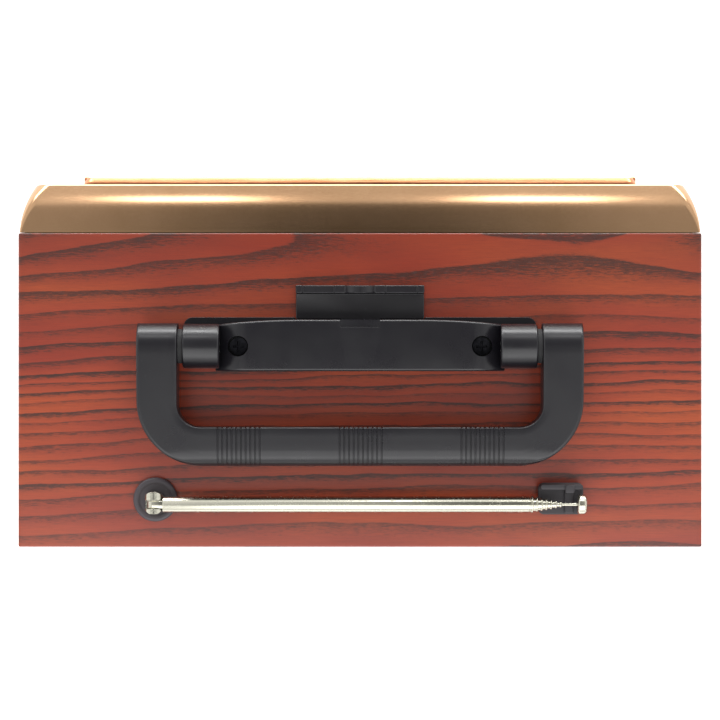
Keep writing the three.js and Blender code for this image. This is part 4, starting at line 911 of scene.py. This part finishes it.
def handle_moulding():
    """Rows follow the U of the handle, and a closed section runs from its outer to its inner edge.
    The height at a point is handle_half_height at its y, less the edge rounding
    e * (1 - sqrt(1 - (1 - d / e) ** 2)) where it is nearer than e to an edge."""
    grooves = groove_rows()
    outer, inner = handle_outline(grooves[:, 0])
    turned_rows = len(outer) - len(grooves)
    outer = np.concatenate([outer, outer[:turned_rows][::-1] * (-1, 1)])
    inner = np.concatenate([inner, inner[:turned_rows][::-1] * (-1, 1)])
    deep = np.concatenate([np.zeros(turned_rows), grooves[:, 1], np.zeros(turned_rows)])
    deep_cut = 0.42
    inner = inner + np.stack([np.zeros_like(deep), deep * deep_cut], axis=1)
    across = inner - outer
    width = np.linalg.norm(across, axis=1)
    across /= width[:, None]
    half_out, half_in = handle_half_height(outer[:, 1]), handle_half_height(inner[:, 1])
    ease_out, ease_in = np.minimum(1.3, 0.5 * half_out), np.minimum(0.8, 0.5 * half_in)
    turn = np.linspace(0, PI / 2, 6)
    upper = []
    for angle in turn:
        upper.append((ease_out * (1 - math.cos(angle)), ease_out * (1 - math.sin(angle))))
    for share in (1 - np.cos(np.linspace(0, PI / 2, 9)[1:-1])):
        upper.append((ease_out + share * (width - ease_out - ease_in), np.zeros_like(width)))
    for angle in turn[::-1]:
        upper.append((width - ease_in * (1 - math.cos(angle)), ease_in * (1 - math.sin(angle))))
    distance = np.stack([place for place, drop in upper], axis=1)
    drop = np.stack([drop for place, drop in upper], axis=1)
    plan = outer[:, None] + distance[..., None] * across[:, None]
    height = handle_half_height(plan[..., 1]) - drop - deep[:, None] * deep_cut
    height = np.maximum(height, 0.02)
    top = np.concatenate([plan, height[..., None]], axis=-1)
    bottom = np.concatenate([plan, -height[..., None]], axis=-1)[:, ::-1]
    points = np.concatenate([top, bottom], axis=1) * MM + PIVOT
    bores = [mesh_of("bore", [spun([(0, 0), (3.3 * MM, 0), (3.3 * MM, 13 * MM), (0, 13 * MM)],
                                   PIVOT + np.array([side * 79.0 * MM, 0, 0]), (side, 0, 0), 32)])
             for side in (-1, 1)]
    mesh = cut_mesh("handle_moulding", mesh_of("handle", [grid(points)]), bores, 33)
    add_piece("handle_moulding", mesh, BLACK, "handle", ["handle_grip"])


def bracket_moulding():
    """Rows across the bracket, each a section of front, top and back with rounded edges. The top
    falls 7 mm over the last 14 mm, fall = 7 * s ** 2, and the front bends back by 2.2 mm, both
    smoothly, and the screw holes and the notch are cut out."""
    half, front, back = 63.9, 11.7, 11.0
    top, bottom = 2.8, -10.1
    inner = np.linspace(0, 49.9, 10)
    outer = 49.9 + 14.0 * np.sin(np.linspace(0, PI / 2, 14)[1:])
    x = np.concatenate([-outer[::-1], -inner[:0:-1], inner, outer])
    near_end = np.clip((np.abs(x) - 49.9) / 14.0, 0, 1)
    fall = 7.0 * near_end ** 2
    bend = 2.2 * np.clip((np.abs(x) - 0.4 * half) / (0.6 * half), 0, 1) ** 2
    turn, rim = np.linspace(0, PI / 2, 7), 1.1
    columns = [(-front + bend, np.full_like(x, bottom))]
    for angle in turn:
        columns.append((-front + bend + rim * (1 - math.cos(angle)),
                        top - fall - rim * (1 - math.sin(angle))))
    for angle in turn[::-1]:
        columns.append((back - rim * (1 - math.cos(angle)) + 0 * x,
                        top - fall - rim * (1 - math.sin(angle))))
    columns.append((np.full_like(x, back), np.full_like(x, bottom)))
    points = np.stack([np.stack([x, y, z], axis=-1) for y, z in columns], axis=1) * MM + PIVOT
    body = mesh_of("bracket", [grid(points)])
    cutters = []
    for side in (-1, 1):
        middle = PIVOT + np.array([side * 53.8, 0, 0]) * MM
        cutters.append(mesh_of("counterbore", [spun(
            np.array([(0, -7.2), (4.55, -7.2), (4.55, 6), (0, 6)]) * MM, middle, (0, 0, 1), 48)]))
        cutters.append(mesh_of("pin_hole", [spun(
            np.array([(0, 0), (3.3, 0), (3.3, 12), (0, 12)]) * MM,
            PIVOT + np.array([side * 62.0 * MM, 0, 0]), (side, 0, 0), 32)]))
    for name, low, high, corner in (("tab_recess", (-8.9, -16, 2.1), (8.9, -8.3, 5), 0.8),
                                    ("notch", (-9, -16, -12), (9, -8.5, -6.1), 0.3)):
        block = soft_block(PIVOT + np.array(low) * MM, PIVOT + np.array(high) * MM, corner * MM,
                           0.1 * MM)
        cutters.append(mesh_of(name, [block]))
    mesh = cut_mesh("bracket_moulding", body, cutters, 33)
    add_piece("bracket_moulding", mesh, BLACK, ROOT, ["handle_bracket"])
    for name, side in (("left", -1), ("right", 1)):
        profile = np.concatenate([
            [(3.3, 62.0), (9.5, 62.0)],
            eased([(9.5, 62.0), (9.8, 62.5), (9.8, 77.5), (9.3, 78), (4.0, 78), (3.3, 77.4)], 0.5, 4),
            [(3.3, 62.0)]]) * MM
        piece(f"handle_barrel_{name}", [spun(profile, PIVOT, (side, 0, 0), 72)], BLACK, ROOT)
        washer = np.array([(3.1, 78.1), (7.6, 78.1), (7.6, 80.1), (3.1, 80.1)]) * MM
        piece(f"friction_washer_{name}", [spun(washer, PIVOT, (side, 0, 0), 48, ring=True)], RUBBER,
              ROOT)


# ---- Antenna ----

TUBE_AXIS = corners("antenna_section_1")[2]
TUBE_RADII = [3.5 - 0.4 * index for index in range(8)]


def antenna_tube(index):
    """A drawn tube turned about its axis. Its open end is rolled in over the last millimetre, where
    it grips the next tube, so the radius falls there by a quarter ellipse."""
    node = f"antenna_section_{index + 1}"
    low, high = corners(node)[:2]
    radius = TUBE_RADII[index]
    bore = radius - 0.25
    start = high[0] if index else high[0] - 6.9 * MM
    length = (start - low[0]) / MM
    angle = np.linspace(0, PI / 2, 6)
    profile = [(bore, 0.2), (radius - 0.1, 0.0), (radius, 0.15), (radius, length - 1.9)]
    if index == 0:
        profile += [(radius - 0.16, length - 1.75), (radius - 0.16, length - 1.45),
                    (radius, length - 1.3)]
    profile += [(radius, length - 1.0), (radius + 0.24, length - 0.85),
                (radius + 0.34, length - 0.5)]
    profile += [(bore - 0.02 + 0.6 * math.cos(a), length - 0.5 + 0.5 * math.sin(a))
                for a in angle[1:]]
    profile += [(bore - 0.02, length - 1.2), (bore, length - 1.4)]
    place = (start, TUBE_AXIS[1], TUBE_AXIS[2])
    shapes = [spun(np.array(profile) * MM, place, (-1, 0, 0), 56, ring=True)]
    if index == 0:
        lug = eased([(0, 2.9), (-9.2, 2.9), (-9.2, -2.9), (0, -2.9)], 0.3, 2)
        sweep = np.linspace(-PI / 2, PI / 2, 13)[1:-1]
        nose = np.stack([2.9 * np.cos(sweep), 2.9 * np.sin(sweep)], axis=1)
        loop = np.concatenate([lug, nose]) * MM
        swivel_x = corners("antenna_base")[2][0]
        rows = []
        for shift, inset in ((-1.6, 0.94), (-1.35, 1.0), (1.35, 1.0), (1.6, 0.94)):
            flat = loop * (1, inset) + (swivel_x, TUBE_AXIS[2])
            rows.append(laid(flat, TUBE_AXIS[1] + shift * MM, 1))
        shapes.append(grid(np.stack(rows)))
    piece(f"{node}_drawn", shapes, NICKEL, f"antenna_tube_{index + 1}", [node], 40)


def antenna_ends():
    """The innermost rod, and the button on its end: a disc with rounded rims and a dished face."""
    low, high = corners("antenna_rod")[:2]
    radius = TUBE_RADII[7]
    rod_length = (high[0] - low[0]) / MM
    rod = np.array([(0, 0), (radius - 0.1, 0), (radius, 0.15), (radius, rod_length), (0, rod_length)])
    piece("antenna_rod_drawn", [spun(rod * MM, (high[0], TUBE_AXIS[1], TUBE_AXIS[2]), (-1, 0, 0), 32)],
          NICKEL, "antenna_end", ["antenna_rod"])
    tip_low, tip_high = corners("antenna_tip")[:2]
    length = (tip_high[0] - tip_low[0]) / MM
    profile = np.concatenate([
        [(0, 2.3), (1.0, 2.3), (1.0, 0.3)],
        eased([(1.0, 0.3), (1.6, 0), (3.4, 0), (4.4, 0.7), (4.4, length - 0.8), (3.6, length),
               (2.4, length), (0, length - 0.35)], 0.5, 4)]) * MM
    place = (tip_high[0], TUBE_AXIS[1], TUBE_AXIS[2])
    piece("antenna_button", [spun(profile, place, (-1, 0, 0), 56)], NICKEL, "antenna_end",
          ["antenna_tip"])


def antenna_foot():
    """The disc under the antenna's swivel, turned with a rounded rim and a shallow dish."""
    low, high, middle = corners("antenna_base")
    radius, height = (high[0] - low[0]) / 2 / MM, (high[2] - low[2]) / MM
    profile = np.concatenate([
        [(3.4, 0), (radius, 0)],
        eased([(radius, 0), (radius, height - 1.0), (radius - 0.4, height - 0.2), (radius - 1.2, height),
               (radius - 2.2, height - 0.1), (radius - 3.0, height - 0.7), (4.6, height - 0.8),
               (3.4, height - 0.9)], 0.5, 3),
        [(3.4, 0)]]) * MM
    piece("antenna_disc", [spun(profile, (middle[0], middle[1], low[2]), (0, 0, 1), 72)], WORN_NYLON,
          ROOT, ["antenna_base"])


def antenna_rest():
    """The clip: a rounded floor, a thin wall in front of the antenna, and a saddle under the rod."""
    low, high = corners("antenna_clip")[:2]
    floor_top = low[2] + 4.0 * MM
    axis_y = TUBE_AXIS[1]
    shapes = [soft_block(low, (high[0], high[1], floor_top), 2.5 * MM, 0.6 * MM),
              soft_block((low[0] + 0.6 * MM, low[1] + 0.4 * MM, low[2] + 0.2 * MM),
                         (high[0] - 0.6 * MM, low[1] + 2.8 * MM, high[2] - 1.2 * MM), 1.1 * MM, 0.6 * MM),
              soft_block((-94.8 * MM, low[1] + 0.6 * MM, low[2] + 0.2 * MM),
                         (-90.6 * MM, axis_y - 4.9 * MM, high[2]), 0.8 * MM, 0.7 * MM),
              soft_block((-94.8 * MM, axis_y - 5.2 * MM, low[2] + 0.2 * MM),
                         (-90.6 * MM, high[1] - 0.6 * MM, floor_top + 1.6 * MM), 0.8 * MM, 0.7 * MM)]
    piece("antenna_clip_moulding", shapes, BLACK_MATT, ROOT, ["antenna_clip"])


# ---- Back ----

REAR_FACE = corners("rear_panel")[1][1]


def rear_details():
    """What the rear panel carries: a raised rim, eight cross-head screws and nine louvres."""
    low, high, middle = corners("rear_panel")
    section = eased([(0.2, 0.1), (0.2, -0.9), (2.6, -0.9), (2.6, 0.1)], 0.4, 2, True) * MM
    section = section * (1, -1) + (0, REAR_FACE)
    rim = carried_round(section, high[0] - low[0], high[2] - low[2], 2 * MM, middle, 1)
    piece("rear_panel_rim", [rim], BLACK, ROOT)
    louvres = []
    for index in range(9):
        z = middle[2] + (16 + 5.2 * index) * MM
        louvres.append(soft_block((low[0] + 26 * MM, REAR_FACE - 0.1 * MM, z),
                                  (low[0] + 114 * MM, REAR_FACE + 1.1 * MM, z + 2.6 * MM),
                                  0.9 * MM, 0.5 * MM, 1))
    piece("rear_vent_louvres", louvres, BLACK, ROOT)
    head = spun(np.array([(0, -0.4), (3.3, -0.4), (3.3, 0.5), (2.9, 1.1), (2.0, 1.5), (0, 1.65)]) * MM,
                (0, 0, 0), (0, 1, 0), 32)
    cross = [mesh_of("cross", [soft_block(np.array([-a, 0.7, -b]) * MM, np.array([a, 3, b]) * MM,
                                          0.2 * MM, 0.05 * MM, 1)])
             for a, b in ((1.9, 0.4), (0.4, 1.9))]
    recessed = cut_mesh("screw_head", mesh_of("head", [head]), cross, 30)
    points = np.empty(len(recessed.vertices) * 3)
    recessed.vertices.foreach_get("co", points)
    faces = [list(face.vertices) for face in recessed.polygons]
    inset = 7 * MM
    places = [(x, z) for x in (low[0] + inset, middle[0], high[0] - inset)
              for z in (low[2] + inset, high[2] - inset)]
    places += [(low[0] + inset, middle[2]), (high[0] - inset, middle[2])]
    copies = [(points.reshape(-1, 3) + (x, REAR_FACE, z), faces) for x, z in places]
    piece("rear_panel_screws", copies, BLACK_STEEL, ROOT)


def door_details():
    """Ridges for the thumb on the battery door."""
    high, middle = corners("battery_door")[1:]
    shapes = [soft_block((middle[0] - 13 * MM, REAR_FACE - 0.1 * MM, high[2] - (8 + 3 * index) * MM),
                         (middle[0] + 13 * MM, REAR_FACE + 0.9 * MM, high[2] - (6.6 + 3 * index) * MM),
                         0.6 * MM, 0.4 * MM, 1) for index in range(4)]
    piece("battery_door_ridges", shapes, BLACK, "battery_door")


def port_flare():
    """The bass port: a tube with a mouth that flares out on a quarter round."""
    low, high, middle = corners("bass_port")
    outer, bore, length = 17.0, 15.0, (high[1] - low[1]) / MM
    curve = np.linspace(0, PI / 2, 9)
    mouth = [(bore + 1.6 * (1 - math.cos(a)), length - 1.6 * (1 - math.sin(a))) for a in curve[::-1]]
    profile = np.array([(bore, 0), (outer, 0), (outer, length - 0.5), (outer - 0.4, length)] + mouth) * MM
    piece("bass_port_flare", [spun(profile, (middle[0], low[1], middle[2]), (0, 1, 0), 72, ring=True)],
          BLACK_SMOOTH, ROOT, ["bass_port"])


# ---- Making every piece ----

cabinet_sleeve()
for end in ("front", "rear"):
    for side in ("left", "right"):
        foot_turning(f"foot_{end}_{side}")
bezel_casting()
trim_frame()
grille_bars()
grille_cloth()
for side in ("volume", "tuning"):
    knob_turning(side)
for name in ("power", "band_am", "band_fm", "band_sw", "tone"):
    push_button(name)
softened_node("control_panel", GLOSS, ROOT, 0.4)
softened_node("dial_window", CLEAR, ROOT, 0.2)
softened_node("dial_scale", CREAM, ROOT, 0.2)
softened_node("dial_pointer", COPPER, "pointer", 0.15)
dial_print()
handle_moulding()
bracket_moulding()
softened_node("bracket_base", BLACK, ROOT, 0.3)
softened_node("phone_rest", BLACK_SMOOTH, ROOT, 0.45)
for side in ("left", "right"):
    softened_node(f"bracket_screw_{side}", BLACK_STEEL, ROOT, 0.12)
for index in range(7):
    antenna_tube(index)
antenna_ends()
antenna_foot()
softened_node("antenna_knuckle", NICKEL, "antenna_swivel_head", 0.6, 40)
antenna_rest()
softened_node("rear_panel", BLACK, ROOT, 0.3)
softened_node("battery_door", BLACK, "battery_door", 0.3)
softened_node("mains_inlet", BLACK_SMOOTH, ROOT, 0.25)
softened_node("line_in_socket", BLACK_SMOOTH, ROOT, 0.25)
rear_details()
door_details()
port_flare()

# CAD nodes whose shape is right keep it and take the finished materials.
KEPT_NODES = {
    "baffle_board": FIBRE, "front_circuit_board": MASK, "main_circuit_board": MASK,
    "volume_potentiometer": ZINC, "tuning_capacitor": ZINC, "volume_shaft": ZINC,
    "tuning_shaft": ZINC, "left_speaker_basket": ZINC, "right_speaker_basket": ZINC,
    "left_speaker_cone": PULP, "right_speaker_cone": PULP, "mains_transformer": ZINC,
    "ferrite_rod": FERRITE, "battery_holder": BLACK, "handle_pin_left": BLACK_STEEL,
    "handle_pin_right": BLACK_STEEL, "antenna_pin": NICKEL,
}
for node, finish in KEPT_NODES.items():
    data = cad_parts[node].data
    if not data.materials:
        data.materials.append(None)
    for number in range(len(data.materials)):
        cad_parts[node].material_slots[number].material = finish


# ---- Studio ----

def studio_surface(name, code):
    """Seamless white paper: matt, with a faint fibre tone."""
    finish, tree, shader = new_finish(name, Roughness=0.9, Emission_Color=(1, 1, 1, 1),
                                      Emission_Strength=0.45)
    tone = add(tree, "TexNoise", {"Vector": add(tree, "TexCoord").outputs["Object"],
                                  "Scale": 0.025 / MM, "Detail": 4.0})
    fill(tree, shader, {"Base Color": add(tree, "ValToRGB", (tone,), ((0.3, code), (0.7, "#FFFFFF")))})
    return finish


def lamp(name, place, aim, size, power):
    """A rectangular soft lamp that faces a point."""
    light = bpy.data.lights.new(name, "AREA")
    light.shape = "RECTANGLE"
    light.size, light.size_y = size
    light.energy = power
    obj = bpy.data.objects.new(name, light)
    bpy.context.scene.collection.objects.link(obj)
    obj.location = place
    direction = np.array(aim, float) - np.array(place, float)
    obj.rotation_mode = "QUATERNION"
    obj.rotation_quaternion = Vector(direction).to_track_quat("-Z", "Y")
    obj.visible_camera = False


def sky_panel():
    """A white tent, bright all round at the horizon and dim overhead: its strength is read from the
    sine of the elevation, and it rises to both sides."""
    world = bpy.data.worlds.new("white_tent")
    bpy.context.scene.world = world
    world.use_nodes = True
    tree = world.node_tree
    split = add(tree, "SeparateXYZ", (add(tree, "TexCoord").outputs["Generated"],))
    height = add(tree, "ValToRGB", (split.outputs["Z"],),
                 ((0.0, "#FFFFFF"), (0.2, "#FFFFFF"), (0.71, "#FFFFFF"), (0.75, "#585858"),
                  (0.96, "#4C4C4C"), (1.0, "#303030")))
    aside = add(tree, "Math", (split.outputs["X"], 0.0), operation="ABSOLUTE")
    gain = add(tree, "MapRange", (aside, 0.06, 0.2, 0.0, 0.5))
    strength = add(tree, "Math", (gain, add(tree, "RGBToBW", (height,))), operation="ADD")
    strength = add(tree, "Math", (strength, 1.1), operation="MINIMUM")
    strength = add(tree, "Math", (strength, 1.2), operation="MULTIPLY")
    fill(tree, tree.nodes["Background"], {"Color": (1, 1, 1, 1), "Strength": strength})


def studio():
    """A pale paper floor, the white tent, and four lamps."""
    span = 6.0
    floor = bpy.data.meshes.new("floor")
    edges = [(-span, -span, 0), (span, -span, 0), (span, span, 0), (-span, span, 0)]
    floor.from_pydata(edges, [], [(0, 1, 2, 3)])
    floor.materials.append(studio_surface("white_paper_sweep", "#FBFBFB"))
    obj = bpy.data.objects.new("floor", floor)
    bpy.context.scene.collection.objects.link(obj)
    sky_panel()
    lamp("overhead_rear_softbox", (0.0, 1.27, 1.72), (0, 0, 0.1), (2.4, 1.9), 37)
    lamp("low_front_strip", (0.0, -1.5, 0.36), (0, 0, 0.18), (2.5, 0.34), 40)
    for side in (-1, 1):
        lamp(f"front_lamp_{side}", (side * 0.215, -0.93, 0.95), (side * 0.1, -0.07, 0.17),
             (0.15, 0.12), 0.7)
    bpy.context.scene.view_settings.view_transform = "Standard"


studio()
